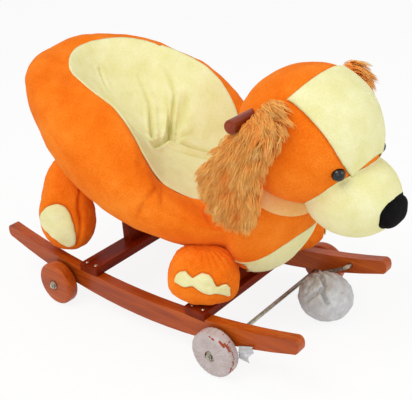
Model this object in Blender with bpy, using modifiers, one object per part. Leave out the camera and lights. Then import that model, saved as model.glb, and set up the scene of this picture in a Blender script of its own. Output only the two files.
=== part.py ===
"""Plush rocking dog with a wheeled and rocking base, in metres, +X towards the dog's nose, +Z up.

Two curved rockers and two crossbars make the base. Upright boards carry a seat board inside the
stuffed body, and a neck board carries the handle dowel inside the head. At each end a steel bail
with two wooden wheels is hinged in the rockers' inner faces. As modelled the toy stands on its
wheels. With both bails swung round past the rockers' tips it stands on the rockers and rocks.
"""
import math

import bmesh
import bpy
from mathutils import Matrix, Vector

NAME = "plush_rocking_dog"
GAP = 0.0003                     # clearance between touching pieces
PAST = 0.3                       # half length of a cutter that only has to reach past its piece
CENTRE_SHIFT = -0.0415           # moves the middle of the whole length onto the origin

# Base boards
BOARD = 0.019
ROCKER_LENGTH = 0.640
ROCKER_RADIUS = 0.948            # of the lower edge
ROCKER_LOW = 0.0271              # lowest point of the lower edge above the floor
ROCKER_MID_HEIGHT = 0.0388
ROCKER_END_HEIGHT = 0.0235
ROCKER_TIP_ROUND = 0.009
ROCKER_STEPS = 18                # straight pieces along each long edge
BASE_HALF = 0.1378               # outer face of a rocker from the middle
CROSS_WIDTH = 0.041
CROSS_THICK = 0.015
CROSS_X = {"rear": -0.108, "front": 0.130}
EDGE_ROUND = 0.0015
SCREW_HALF_SPACING = 0.0105      # of the two screws at each end of a crossbar, along the toy
SCREW_INSET = 0.0095             # from the rocker's outer face
SCREW_HOLE_RADIUS = 0.0038
SCREW_HOLE_DEPTH = 0.0135
SCREW_PROFILE = ((0.0, 0.0012), (0.0024, 0.0008), (0.0034, 0.0), (0.0020, -0.012), (0.0, -0.012))

# Uprights inside the plush
POST_HALF = 0.033
POST_EDGE = 0.001
POST_REAR_FACE = {"rear": -0.017, "front": -0.0095}   # from the middle of the crossbar under it
SEAT_BOARD_X = (-0.126, 0.150)
SEAT_BOARD_HALF = 0.050
SEAT_BOARD_Z = 0.214
SEAT_BOARD_THICK = 0.012
NECK_FOOT = (0.126, 0.150)
NECK_CROWN_RADIUS = 0.021
HANDLE = Vector((0.213, 0.0, 0.399))
HANDLE_RADIUS = 0.010
HANDLE_HALF = 0.132
HANDLE_EDGE = 0.003
HANDLE_IN_EAR_GAP = 0.002        # the ear's pile stays this far off the handle

# Bails and wheels: the axle and the pivot of each bail, seen from the side
WHEEL_STEPS = 28
WHEEL_RADIUS = 0.0390
WHEEL_INNER = 0.1435
WHEEL_THICK = 0.0225
WHEEL_BORE = 0.0042
WHEEL_EDGE = 0.0055
AXLE_Z = WHEEL_RADIUS * math.cos(math.pi / WHEEL_STEPS)
ROD_RADIUS = 0.0035
ROD_BEND = 0.008
AXLE_PAST_WHEEL = 0.004
ROD_COLLAR = (0.0075, 0.0028)    # radius and thickness of the stop inside each wheel
HUB_CAP_PROFILE = ((0.0, 0.0072), (0.0045, 0.0058), (0.0072, 0.0012), (0.0072, 0.0),
                   (WHEEL_BORE, 0.0), (WHEEL_BORE, 0.0045), (0.0, 0.0045))
BAILS = {"front": {"axle": 0.182, "pivot": Vector((0.255, 0.0, 0.0782))},
         "rear": {"axle": -0.172, "pivot": Vector((-0.247, 0.0, 0.0760))}}
ARM_Y = 0.110
PIVOT_HOLE_RADIUS = 0.0042
PIVOT_HOLE_DEPTH = 0.012
PIN_END_GAP = 0.001
SIDES = {"right": -1, "left": 1}

# Stuffed body: a tilted bowl for the seat, and the chest in front of it
TUB_CENTRE = Vector((-0.044, 0.0, 0.307))
TUB_TILT = math.radians(24.7)
TUB_RADII = (0.251, 0.172, 0.130)
TUB_FULL = 0.80                  # below 1, the bottom swells towards a box
TUB_WALL = (                     # degrees from the front: share outwards, lean, crest's rise, belt's height
    (0, 0.065, 1.80, -0.001, -0.015), (50, 0.040, 1.75, 0.000, 0.002), (90, 0.022, 1.90, 0.001, -0.006),
    (130, 0.034, 1.85, -0.010, 0.022), (180, 0.009, 1.70, 0.004, -0.028))
TUB_RINGS = (0.30, 0.52, 0.60)   # share of the rings up to the widest line, the crest and the lining's edge
TUB_RIM = (                      # degrees from the front, share of the outer radius, height
    (0, 0.750, 0.0085), (37, 0.762, -0.003), (50, 0.750, 0.0035), (56, 0.748, 0.008), (66, 0.724, 0.032),
    (74, 0.696, 0.052), (84, 0.662, 0.067), (95, 0.649, 0.074), (105, 0.669, 0.0725), (121, 0.703, 0.065),
    (134, 0.742, 0.058), (180, 0.733, 0.049))
RIM_ROLL = 0.051                 # share of the outer radius from the lining's edge to the crest
SEAT_FLOOR = (0.034, -0.021)     # deepest point of the seat along the bowl and above its middle
LINING_THICK = 0.004
LINING_CUT = (0.002, 1.01)       # the cutter for the lining stands above it, and reaches past its edge
CHEST = (Vector((0.181, 0.0, 0.217)), (0.070, 0.090, 0.114), 21)
COLLAR_AXIS = Vector((0.559, 0.0, 0.829))
COLLAR_BAND = (0.338, 0.361)
COLLAR_THICK = 0.003

# Head
HEAD = (Vector((0.253, 0.0, 0.355)), (0.103, 0.105, 0.098), 0)
HEAD_FACETS = (26, 14)
HEAD_NARROW = 0.15               # share by which the head gets narrower towards the face
MUZZLE = (Vector((0.322, 0.0, 0.278)), (0.071, 0.062, 0.061), 0)
NOSE = (Vector((0.384, 0.0, 0.2675)), (0.016, 0.030, 0.0215), 4)
EYE_AT = Vector((0.332, 0.0555, 0.331))
EYE_RADIUS = 0.0095
PATCH_THICK = 0.002
FOREHEAD_AXIS = Vector((0.6, 0.0, 0.8))
FOREHEAD_CUT = (0.077, 0.075)    # from the head's middle to the cutter's, and half the cutter's length
FOREHEAD_OUTLINE = (             # forwards and down from the middle of the head, and half across
    (-0.036, 0.0695), (-0.015, 0.0715), (0.005, 0.0715), (0.025, 0.069), (0.044, 0.065), (0.059, 0.060),
    (0.072, 0.054), (0.082, 0.0465), (0.090, 0.037))
BELLY_CENTRE_Z = 0.140
BELLY_HALF = (0.073, 0.063)
BELLY_X = (0.145, 0.305)         # the patch lies on the front of the chest, between these
EAR_TOP = Vector((0.262, 0.093, 0.432))
EAR_BOTTOM = Vector((0.165, 0.124, 0.237))
EAR_THICK = 0.027
EAR_WIDTHS = (0.052, 0.066, 0.074, 0.084, 0.092, 0.088)   # across, at even steps from top to bottom

# Legs
LIMB_FACETS = (18, 11)
PAWS = {                         # the left paw hangs further forward and out than the right one
    "right": {"centre": Vector((0.122, 0.098, 0.131)), "radii": (0.055, 0.043, 0.047), "yaw": 38, "tilt": 8,
              "taper": 0.13},
    "left": {"centre": Vector((0.148, 0.112, 0.137)), "radii": (0.056, 0.043, 0.045), "yaw": 25, "tilt": 0,
             "taper": 0.13}}
PAW_BOX = 2.4                    # exponent of the paw's rounded block
HIND = {"centre": Vector((-0.185, 0.102, 0.168)), "radii": (0.045, 0.039, 0.084), "yaw": 39, "tilt": 1,
        "taper": 0.32}
HIND_BOX = 2.2
TOE_OUTLINE = (                  # along the paw and up: three toes over a wavy lower edge
    (-0.044, 0.004), (-0.040, 0.015), (-0.033, 0.022), (-0.025, 0.024), (-0.021, 0.018), (-0.015, 0.014),
    (-0.009, 0.018), (-0.001, 0.022), (0.009, 0.020), (0.014, 0.013), (0.017, 0.002), (0.021, -0.002),
    (0.028, 0.001), (0.034, 0.000), (0.039, -0.008), (0.038, -0.018), (0.036, -0.025), (0.027, -0.018),
    (0.017, -0.012), (0.007, -0.013), (-0.001, -0.010), (-0.009, -0.004), (-0.016, 0.002), (-0.022, 0.001),
    (-0.029, -0.001), (-0.037, 0.001))
SOLE_OUTLINE = (                 # along the hind leg and up
    (-0.044, -0.018), (-0.034, 0.003), (-0.020, 0.015), (-0.005, 0.018), (0.004, 0.014), (0.011, 0.002),
    (0.014, -0.013), (0.016, -0.031), (0.016, -0.048), (0.012, -0.063), (0.000, -0.069), (-0.009, -0.062),
    (-0.018, -0.050), (-0.031, -0.038), (-0.042, -0.030))
LIMB_CUT_HALF = 0.05             # how far a patch's outline reaches out of its limb, halved

# Packing foam on the front wheels. The wrapped wheel is smaller by its sheet, so all four stand level.
WRAPPED_WHEEL = ("front", "right")
WRAP_THICK = 0.0008
WRAP_HOLE_RADIUS = 0.0085
FOAM_BAG = {"centre": Vector((0.237, 0.069, 0.0405)), "radii": (0.043, 0.043, 0.0385)}
FOAM_NECK = Vector((0.1915, 0.0995, 0.050))
FOAM_PULL = (0.72, 0.75)         # cosine from which the ball is drawn out, share of the way to the neck

COLOURS = {                      # base colour, roughness, metallic
    "wood": ((0.31, 0.10, 0.03), 0.35, 0.0), "steel": ((0.55, 0.54, 0.50), 0.30, 1.0),
    "plywood": ((0.62, 0.45, 0.27), 0.60, 0.0), "orange_plush": ((0.87, 0.20, 0.015), 0.95, 0.0),
    "cream_plush": ((0.87, 0.84, 0.50), 0.95, 0.0), "ear_pile": ((0.90, 0.37, 0.09), 0.95, 0.0),
    "tan_band": ((0.80, 0.45, 0.16), 0.90, 0.0), "black_plush": ((0.012, 0.012, 0.013), 0.85, 0.0),
    "black_gloss": ((0.006, 0.005, 0.005), 0.10, 0.0), "foam": ((0.60, 0.57, 0.56), 0.70, 0.0)}


def collection(name):
    made = bpy.data.collections.new(name)
    bpy.context.scene.collection.children.link(made)
    return made


def material(name):
    colour, roughness, metallic = COLOURS[name]
    made = bpy.data.materials.get(name) or bpy.data.materials.new(name)
    made.use_nodes = True
    shader = made.node_tree.nodes["Principled BSDF"]
    shader.inputs["Base Color"].default_value = (*colour, 1.0)
    shader.inputs["Roughness"].default_value = roughness
    shader.inputs["Metallic"].default_value = metallic
    return made


def put(obj, name, finish=None):
    """Names an object and files it as a part with a finish, or as a cutter without one."""
    obj.name = name
    for home in list(obj.users_collection):
        home.objects.unlink(obj)
    if finish:
        PARTS.objects.link(obj)
        obj.data.materials.clear()
        obj.data.materials.append(material(finish))
        obj.parent = ROOT
        if obj.type == "MESH":
            obj.data.shade_smooth()
            obj.data.set_sharp_from_angle(angle=math.radians(35))
    else:
        CUTTERS.objects.link(obj)
        obj.parent = ROOT
        obj.hide_render = True
        obj.display_type = "WIRE"
    return obj


def joint_empty(name, at, parent, parent_at):
    """An empty on a joint's axis, for the pieces that move about it."""
    empty = bpy.data.objects.new(name, None)
    PARTS.objects.link(empty)
    empty.parent = parent
    empty.location = at - parent_at
    empty.empty_display_size = 0.02
    return empty


def hang(obj, empty_name, at):
    """Parents a moving piece to the empty on its joint's axis, and leaves the piece where it is."""
    obj.parent = bpy.data.objects[empty_name]
    obj.matrix_parent_inverse = Matrix.Translation(-at)


def mesh_object(bm):
    bmesh.ops.recalc_face_normals(bm, faces=bm.faces)
    mesh = bpy.data.meshes.new("piece")
    bm.to_mesh(mesh)
    bm.free()
    obj = bpy.data.objects.new("piece", mesh)
    bpy.context.scene.collection.objects.link(obj)
    return obj


def box(low, high, grow=0.0):
    bm = bmesh.new()
    bmesh.ops.create_cube(bm, size=1.0)
    low = Vector(low) - Vector((grow,) * 3)
    high = Vector(high) + Vector((grow,) * 3)
    for vert in bm.verts:
        vert.co = Vector([low[i] if vert.co[i] < 0 else high[i] for i in range(3)])
    return mesh_object(bm)


def cylinder(centre, radius, length, axis="Y", sides=20):
    bm = bmesh.new()
    bmesh.ops.create_cone(bm, cap_ends=True, segments=sides, radius1=radius, radius2=radius, depth=length)
    turn = Matrix.Rotation(math.radians(90), 4, "X") if axis == "Y" else Matrix.Identity(4)
    bmesh.ops.transform(bm, matrix=Matrix.Translation(centre) @ turn, verts=bm.verts)
    return mesh_object(bm)


def round_edges(obj, width=EDGE_ROUND, segments=2):
    bevel = obj.modifiers.new("rounded edges", "BEVEL")
    bevel.width = width
    bevel.segments = segments
    bevel.limit_method = "ANGLE"
    return obj


def boolean(obj, other, operation="DIFFERENCE"):
    """Adds a Boolean with another object, which becomes a cutter."""
    put(other, f"{other.name}_for_{obj.name}")
    step = obj.modifiers.new(operation.lower(), "BOOLEAN")
    step.operation = operation
    step.object = other
    return obj


def prism(outline, half, axis="Y", at=0.0):
    """A flat closed outline, filled and extruded by half both ways along Y or X."""
    data = bpy.data.curves.new("outline", "CURVE")
    data.dimensions = "2D"
    data.fill_mode = "BOTH"
    data.extrude = half
    spline = data.splines.new("POLY")
    spline.points.add(len(outline) - 1)
    for point, (a, b) in zip(spline.points, outline):
        point.co = (a, b, 0.0, 1.0)
    spline.use_cyclic_u = True
    obj = bpy.data.objects.new("outline", data)
    bpy.context.scene.collection.objects.link(obj)
    if axis == "Y":
        obj.matrix_world = Matrix.Translation((0.0, at, 0.0)) @ Matrix.Rotation(math.radians(90), 4, "X")
    else:
        turn = Matrix(((0, 0, 1), (1, 0, 0), (0, 1, 0))).to_4x4()
        obj.matrix_world = Matrix.Translation((at, 0.0, 0.0)) @ turn
    return as_mesh(obj)


def tube(points, radius):
    data = bpy.data.curves.new("path", "CURVE")
    data.dimensions = "3D"
    data.bevel_depth = radius
    data.bevel_resolution = 2
    data.use_fill_caps = True
    spline = data.splines.new("POLY")
    spline.points.add(len(points) - 1)
    for point, at in zip(spline.points, points):
        point.co = (*at, 1.0)
    obj = bpy.data.objects.new("path", data)
    bpy.context.scene.collection.objects.link(obj)
    return as_mesh(obj)


def as_mesh(curve):
    """Makes a curve a welded mesh, so that Booleans and Bevel can work on it."""
    bpy.context.view_layer.update()
    mesh = bpy.data.meshes.new_from_object(curve.evaluated_get(bpy.context.evaluated_depsgraph_get()))
    mesh.transform(curve.matrix_world)
    bm = bmesh.new()
    bm.from_mesh(mesh)
    bmesh.ops.remove_doubles(bm, verts=bm.verts, dist=0.00001)
    bmesh.ops.recalc_face_normals(bm, faces=bm.faces)
    bm.to_mesh(mesh)
    bm.free()
    obj = bpy.data.objects.new(curve.name, mesh)
    bpy.context.scene.collection.objects.link(obj)
    bpy.data.objects.remove(curve)
    return obj


def turned(profile, at, steps, side):
    """A profile of radius and height, turned about Z and laid along Y, its top facing outwards."""
    bm = bmesh.new()
    verts = [bm.verts.new((radius, 0.0, height)) for radius, height in profile]
    for first, second in zip(verts, verts[1:]):
        bm.edges.new((first, second))
    if profile[0][0] > 0 and profile[-1][0] > 0:
        bm.edges.new((verts[-1], verts[0]))
    mesh = bpy.data.meshes.new("turned")
    bm.to_mesh(mesh)
    bm.free()
    obj = bpy.data.objects.new("turned", mesh)
    bpy.context.scene.collection.objects.link(obj)
    half_step = Matrix.Rotation(math.pi / steps, 4, "Z")
    obj.matrix_world = Matrix.Translation(at) @ Matrix.Rotation(math.radians(-90 * side), 4, "X") @ half_step
    screw = obj.modifiers.new("turned", "SCREW")
    screw.steps = steps
    screw.render_steps = steps
    screw.use_merge_vertices = True
    screw.merge_threshold = 0.00001
    return obj


def smooth_between(table, angle):
    """Reads a table of rows by its first column, with cosine steps between the rows."""
    for low, high in zip(table, table[1:]):
        if angle <= high[0]:
            share = (angle - low[0]) / (high[0] - low[0])
            share = 0.5 - 0.5 * math.cos(math.pi * share) if high[0] - low[0] > 30 else share
            return [a + (b - a) * share for a, b in zip(low[1:], high[1:])]
    return list(table[-1][1:])


def ball(centre, radii, tilt=0.0, yaw=0.0, around=24, rings=14, power=2.0, grow=0.0, taper=0.0,
         face=0.0):
    """A sphere stretched to radii, squarer as power rises, narrower upwards by taper and forwards by face."""
    bm = bmesh.new()
    bmesh.ops.create_uvsphere(bm, u_segments=around, v_segments=rings, radius=1.0)
    for vert in bm.verts:
        size = sum(abs(c) ** power for c in vert.co) ** (1.0 / power)
        narrow = 1.0 - taper * vert.co.z / size
        x, y, z = [c / size * r for c, r in zip(vert.co, radii)]
        slim = 1.0 - face * max(0.0, vert.co.x / size)
        vert.co = Vector((x * narrow, y * narrow * slim, z))
    if grow:
        bm.normal_update()
        for vert in bm.verts:
            vert.co = vert.co + vert.normal * grow
    place = Matrix.Translation(centre) @ Matrix.Rotation(math.radians(yaw), 4, "Z")
    bmesh.ops.transform(bm, matrix=place @ Matrix.Rotation(math.radians(tilt), 4, "Y"), verts=bm.verts)
    return mesh_object(bm)


def form(spec, grow=0.0, around=22, rings=12, face=0.0):
    centre, radii, tilt = spec
    return ball(centre, radii, tilt, 0.0, around, rings, grow=grow, face=face)


def head_form(grow=0.0):
    return form(HEAD, grow, *HEAD_FACETS, face=HEAD_NARROW)


def tub_point(angle, share, height):
    """A place on the bowl, by its angle from the front and its share of the outer radius."""
    local = Vector((TUB_RADII[0] * share * math.cos(angle), TUB_RADII[1] * share * math.sin(angle), height))
    return TUB_CENTRE + Matrix.Rotation(TUB_TILT, 3, "Y") @ local


def round_bowl(table, angle):
    """Reads a table whose first column is degrees from the front, the same on both sides."""
    return smooth_between(table, abs(math.degrees(math.atan2(math.sin(angle), math.cos(angle)))))


def seat_point(angle, out):
    """A place on the seat: out runs from 0 at the floor to 1 at the lining's edge."""
    share, height = round_bowl(TUB_RIM, angle)
    edge = Vector((TUB_RADII[0] * share * math.cos(angle), TUB_RADII[1] * share * math.sin(angle)))
    floor = Vector((SEAT_FLOOR[0], 0.0))
    flat = floor.lerp(edge, out)
    rise = SEAT_FLOOR[1] + (height - SEAT_FLOOR[1]) * out ** 2.0
    local = Vector((flat.x, flat.y, rise))
    return TUB_CENTRE + Matrix.Rotation(TUB_TILT, 3, "Y") @ local


def tub(grow=0.0, around=28, rings=18, hollow=True):
    """The bowl: bottom, outer wall, rolled rim and seat, on one sphere's rings from pole to pole."""
    bm = bmesh.new()
    bmesh.ops.create_uvsphere(bm, u_segments=around, v_segments=rings, radius=1.0)
    bottom, wall, roll = TUB_RINGS
    for vert in bm.verts:
        angle = math.atan2(vert.co.y, vert.co.x)
        along = math.acos(max(-1.0, min(1.0, -vert.co.z))) / math.pi
        share, height = round_bowl(TUB_RIM, angle)
        further, leaning, rise, belt = round_bowl(TUB_WALL, angle)
        crest = share + RIM_ROLL
        full = 1 + further
        if along <= bottom:
            turn = math.pi / 2 * along / bottom
            low = belt - (TUB_RADII[2] + belt) * math.cos(turn)
            vert.co = tub_point(angle, full * math.sin(turn) ** TUB_FULL, low)
        elif along <= wall:
            turn = math.pi / 2 * (along - bottom) / (wall - bottom)
            lean = max(0.0, math.cos(turn)) ** leaning
            high = belt + (height + rise - belt) * math.sin(turn)
            vert.co = tub_point(angle, crest + (full - crest) * lean, high)
        elif along <= roll:
            turn = (along - wall) / (roll - wall)
            vert.co = tub_point(angle, crest - RIM_ROLL * turn, height + rise * (1 - turn ** 2))
        elif hollow:
            vert.co = seat_point(angle, 1 - (along - roll) / (1 - roll))
        else:
            vert.co = tub_point(angle, share * (1 - (along - roll) / (1 - roll)), height)
    bmesh.ops.triangulate(bm, faces=bm.faces)
    bmesh.ops.recalc_face_normals(bm, faces=bm.faces)
    if grow:
        bm.normal_update()
        for vert in bm.verts:
            vert.co = vert.co + vert.normal * grow
    return mesh_object(bm)


def seat_sheet(top, bottom, around=28, rings=6, reach=1.0):
    """The seat's surface as a shell between two depths below the finished surface."""
    bm = bmesh.new()
    bmesh.ops.create_uvsphere(bm, u_segments=around, v_segments=2 * rings, radius=1.0)
    bmesh.ops.delete(bm, geom=[vert for vert in bm.verts if vert.co.z > 0.001], context="VERTS")
    for vert in bm.verts:
        out = math.acos(max(-1.0, min(1.0, -vert.co.z))) / (math.pi / 2)
        vert.co = seat_point(math.atan2(vert.co.y, vert.co.x), reach if out > 0.99 else out)
    bmesh.ops.reverse_faces(bm, faces=bm.faces)
    bmesh.ops.triangulate(bm, faces=bm.faces)
    bm.normal_update()
    for vert in bm.verts:
        vert.co = vert.co - vert.normal * top
    mesh = bpy.data.meshes.new("seat")
    bm.to_mesh(mesh)
    bm.free()
    obj = bpy.data.objects.new("seat", mesh)
    bpy.context.scene.collection.objects.link(obj)
    solid = obj.modifiers.new("thickness", "SOLIDIFY")
    solid.thickness = bottom - top
    solid.offset = -1.0
    return obj


def lower_edge(x):
    return ROCKER_LOW + ROCKER_RADIUS - math.sqrt(ROCKER_RADIUS ** 2 - x ** 2)


def upper_edge(x):
    share = abs(x) / (ROCKER_LENGTH / 2)
    return lower_edge(x) + ROCKER_MID_HEIGHT + (ROCKER_END_HEIGHT - ROCKER_MID_HEIGHT) * share ** 2


def cross_bottom(end):
    return upper_edge(abs(CROSS_X[end]) - CROSS_WIDTH / 2) + GAP


def rocker_outline():
    """Lower edge from rear to front, then the upper edge back, with a round at each corner."""
    reach = ROCKER_LENGTH / 2 - ROCKER_TIP_ROUND
    xs = [-reach + 2 * reach * i / ROCKER_STEPS for i in range(ROCKER_STEPS + 1)]
    lower = [(x, lower_edge(x)) for x in xs]
    upper = [(x, upper_edge(x)) for x in reversed(xs)]

    def tip(sign):
        bottom = Vector((sign * reach, lower_edge(reach) + ROCKER_TIP_ROUND))
        top = Vector((sign * reach, upper_edge(reach) - ROCKER_TIP_ROUND))
        turns = [math.radians(a) for a in (-60, -30, 0)]
        low = [(bottom.x + sign * ROCKER_TIP_ROUND * math.cos(t), bottom.y + ROCKER_TIP_ROUND * math.sin(t))
               for t in turns]
        high = [(top.x + sign * ROCKER_TIP_ROUND * math.cos(t), top.y - ROCKER_TIP_ROUND * math.sin(t))
                for t in reversed(turns)]
        return low + high

    return lower + tip(1) + upper + list(reversed(tip(-1)))


def make_rockers():
    for side, sign in SIDES.items():
        rocker = prism(rocker_outline(), BOARD / 2, "Y", sign * (BASE_HALF - BOARD / 2))
        put(rocker, f"rocker_{side}", "wood")
        round_edges(rocker)
        for end, x in CROSS_X.items():
            z, half = cross_bottom(end), CROSS_WIDTH / 2
            boolean(rocker, box((x - half, -PAST, z), (x + half, PAST, z + 2 * CROSS_THICK), GAP))
        for bail in BAILS.values():
            hole = bail["pivot"] + Vector((0, sign * (BASE_HALF - BOARD), 0))
            boolean(rocker, cylinder(hole, PIVOT_HOLE_RADIUS, 2 * PIVOT_HOLE_DEPTH, sides=16))


def make_crossbars():
    for end, x in CROSS_X.items():
        z = cross_bottom(end)
        bar = box((x - CROSS_WIDTH / 2, -BASE_HALF, z), (x + CROSS_WIDTH / 2, BASE_HALF, z + CROSS_THICK))
        put(bar, f"crossbar_{end}", "wood")
        round_edges(bar)
        for side, sign in SIDES.items():
            for spot, shift in (("outer", -1), ("inner", 1)):
                along = x + shift * SCREW_HALF_SPACING
                at = Vector((along, sign * (BASE_HALF - SCREW_INSET), z + CROSS_THICK))
                boolean(bar, cylinder(at, SCREW_HOLE_RADIUS, 2 * SCREW_HOLE_DEPTH, "Z", 8))
                screw = turned(SCREW_PROFILE, (0, 0, 0), 8, 0)
                screw.matrix_world = Matrix.Translation(at)
                put(screw, f"screw_{end}_{side}_{spot}", "steel")


def post_box(end, grow=0.0, behind=0.0):
    rear = CROSS_X[end] + POST_REAR_FACE[end]
    low = (rear - behind, -POST_HALF, cross_bottom(end) + CROSS_THICK + GAP)
    high = (rear + BOARD, POST_HALF, SEAT_BOARD_Z - GAP)
    return box(low, high, grow)


def seat_board(grow=0.0):
    low = (SEAT_BOARD_X[0], -SEAT_BOARD_HALF, SEAT_BOARD_Z)
    high = (SEAT_BOARD_X[1], SEAT_BOARD_HALF, SEAT_BOARD_Z + SEAT_BOARD_THICK)
    return box(low, high, grow)


def neck_board(grow=0.0):
    base = SEAT_BOARD_Z + SEAT_BOARD_THICK + GAP - grow
    foot = [(NECK_FOOT[0] - grow, base), (NECK_FOOT[1] + grow, base)]
    radius = NECK_CROWN_RADIUS + grow
    turns = [math.radians(a) for a in range(-20, 181, 25)]
    crown = [(HANDLE.x + radius * math.cos(t), HANDLE.z + radius * math.sin(t)) for t in turns]
    return prism(foot + crown, BOARD / 2 + grow)


def make_uprights():
    for end in CROSS_X:
        put(post_box(end), f"post_{end}", "wood")
        round_edges(bpy.data.objects[f"post_{end}"], width=POST_EDGE, segments=1)
    put(seat_board(), "seat_board", "plywood")
    neck = put(neck_board(), "neck_board", "plywood")
    boolean(neck, cylinder(HANDLE, HANDLE_RADIUS + 2 * GAP, 2 * PAST))
    handle = put(cylinder(HANDLE, HANDLE_RADIUS, 2 * HANDLE_HALF), "handle_dowel", "wood")
    round_edges(handle, width=HANDLE_EDGE)


def wheel_place(end, sign, out=0.0):
    """A point on a wheel's axis: at its inner face, or further out from there."""
    return Vector((BAILS[end]["axle"], sign * (WHEEL_INNER + out), AXLE_Z))


def make_joint_empties():
    """One on each bail's pivot and, under it, one in the middle of each of its wheels."""
    for end, bail in BAILS.items():
        pivot = joint_empty(f"{end}_bail_pivot", bail["pivot"], ROOT, Vector())
        for side, sign in SIDES.items():
            middle = wheel_place(end, sign, WHEEL_THICK / 2)
            joint_empty(f"{end}_{side}_wheel_middle", middle, pivot, bail["pivot"])


def make_bails():
    for end, bail in BAILS.items():
        axle, pivot = bail["axle"], bail["pivot"]
        reach = WHEEL_INNER + WHEEL_THICK + AXLE_PAST_WHEEL
        rod = tube([(axle, y * reach, AXLE_Z) for y in (-1, 1)], ROD_RADIUS)
        put(rod, f"axle_bail_{end}", "steel")
        hang(rod, f"{end}_bail_pivot", pivot)
        for sign in SIDES.values():
            start = Vector((axle, sign * ARM_Y, AXLE_Z))
            turn = Vector((pivot.x, sign * ARM_Y, pivot.z))
            along = (turn - start).normalized()
            out = Vector((0, sign, 0))
            corner = [turn - along * ROD_BEND * (1 - math.sin(t)) + out * ROD_BEND * (1 - math.cos(t))
                      for t in [math.radians(a) for a in (0, 30, 60, 90)]]
            pin_end = turn + out * (BASE_HALF - BOARD + PIVOT_HOLE_DEPTH - PIN_END_GAP - ARM_Y)
            boolean(rod, tube([start, *corner, pin_end], ROD_RADIUS), "UNION")
            radius, thick = ROD_COLLAR
            boolean(rod, cylinder(wheel_place(end, sign, -GAP - thick / 2), radius, thick, sides=16), "UNION")


def wheel_profile(smaller):
    """Half section of a turned wooden wheel, from the outer face over the tread to the inner face."""
    edge = WHEEL_EDGE
    top, radius = WHEEL_THICK, WHEEL_RADIUS - smaller
    rounds = [(radius - edge + edge * math.sin(t), top - edge + edge * math.cos(t))
              for t in [math.radians(a) for a in (0, 45, 90)]]
    lower = [(r, top - z) for r, z in reversed(rounds)]
    return [(WHEEL_BORE, top), *rounds, *lower, (WHEEL_BORE, 0.0)]


def make_wheels():
    for end, bail in BAILS.items():
        for side, sign in SIDES.items():
            wrapped = (end, side) == WRAPPED_WHEEL
            profile = wheel_profile(WRAP_THICK + GAP if wrapped else 0.0)
            wheel = turned(profile, wheel_place(end, sign), WHEEL_STEPS, sign)
            put(wheel, f"wheel_{end}_{side}", "wood")
            hang(wheel, f"{end}_{side}_wheel_middle", wheel_place(end, sign, WHEEL_THICK / 2))
            cap = turned(HUB_CAP_PROFILE, wheel_place(end, sign, WHEEL_THICK + GAP), 10, sign)
            put(cap, f"hub_cap_{end}_{side}", "steel")
            hang(cap, f"{end}_bail_pivot", bail["pivot"])


def make_foam():
    """The foam sheet round the near front wheel, and the gathered foam bag inside the far rocker."""
    edge = WHEEL_EDGE
    end, side = WRAPPED_WHEEL
    sign = SIDES[side]

    def skin(inward):
        radius, top = WHEEL_RADIUS - inward, WHEEL_THICK + WRAP_THICK + GAP - inward
        turns = [math.radians(a) for a in (0, 45, 90)]
        round_part = [(radius - edge + edge * math.sin(t), top - edge + edge * math.cos(t)) for t in turns]
        return [(WRAP_HOLE_RADIUS, top), *round_part, (radius, edge)]

    profile = skin(0.0) + list(reversed(skin(WRAP_THICK)))
    wrap = put(turned(profile, wheel_place(end, sign), WHEEL_STEPS, sign), f"wheel_wrap_{end}_{side}", "foam")
    hang(wrap, f"{end}_{side}_wheel_middle", wheel_place(end, sign, WHEEL_THICK / 2))
    bag = ball(FOAM_BAG["centre"], FOAM_BAG["radii"], around=18, rings=10)
    towards_neck = (FOAM_NECK - FOAM_BAG["centre"]).normalized()
    pull_from, pull_share = FOAM_PULL
    for vert in bag.data.vertices:
        facing = (vert.co - FOAM_BAG["centre"]).normalized().dot(towards_neck)
        pull = max(0.0, facing - pull_from) / (1 - pull_from)
        vert.co = vert.co.lerp(FOAM_NECK, pull_share * pull ** 1.5)
    put(bag, "foam_bag_front_left", "foam")
    hang(bag, "front_bail_pivot", BAILS["front"]["pivot"])


def make_body():
    body = put(tub(), "seat_body", "orange_plush")
    above, reach = LINING_CUT
    boolean(body, seat_sheet(-above, LINING_THICK + GAP, reach=reach))
    boolean(body, seat_board(GAP))
    for end in CROSS_X:
        boolean(body, post_box(end, GAP))
    boolean(body, neck_board(2 * GAP))
    chest = put(form(CHEST), "chest", "orange_plush")
    boolean(chest, tub(GAP, hollow=False))
    boolean(chest, neck_board(2 * GAP))
    boolean(chest, seat_board(GAP))
    boolean(chest, post_box("front", GAP, BOARD))
    lining = put(seat_sheet(0.0, LINING_THICK), "seat_lining", "cream_plush")
    boolean(lining, form(CHEST, GAP))
    make_belly_patch()


def make_belly_patch():
    belly = put(form(CHEST, PATCH_THICK), "belly_patch", "cream_plush")
    boolean(belly, form(CHEST, GAP))
    turns = [math.radians(a) for a in range(0, 360, 15)]
    outline = [(BELLY_HALF[0] * math.cos(t), BELLY_CENTRE_Z + BELLY_HALF[1] * math.sin(t)) for t in turns]
    rear, front = BELLY_X
    boolean(belly, prism(outline, (front - rear) / 2, "X", (rear + front) / 2), "INTERSECT")
    boolean(belly, tub(GAP, hollow=False))


def make_collar():
    collar = put(form(CHEST, GAP + COLLAR_THICK), "neck_collar", "tan_band")
    boolean(collar, form(CHEST, GAP))
    low, high = COLLAR_BAND
    slab = box((-PAST, -PAST, low), (PAST, PAST, high))
    axis = COLLAR_AXIS.normalized()
    across = Vector((axis.z, 0.0, -axis.x))
    frame = Matrix((across, Vector((0, 1, 0)), axis)).transposed()
    middle = CHEST[0] - axis * CHEST[0].dot(axis)
    slab.data.transform(Matrix.Translation(middle) @ frame.to_4x4())
    boolean(collar, slab, "INTERSECT")
    boolean(collar, neck_board(2 * GAP))


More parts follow.
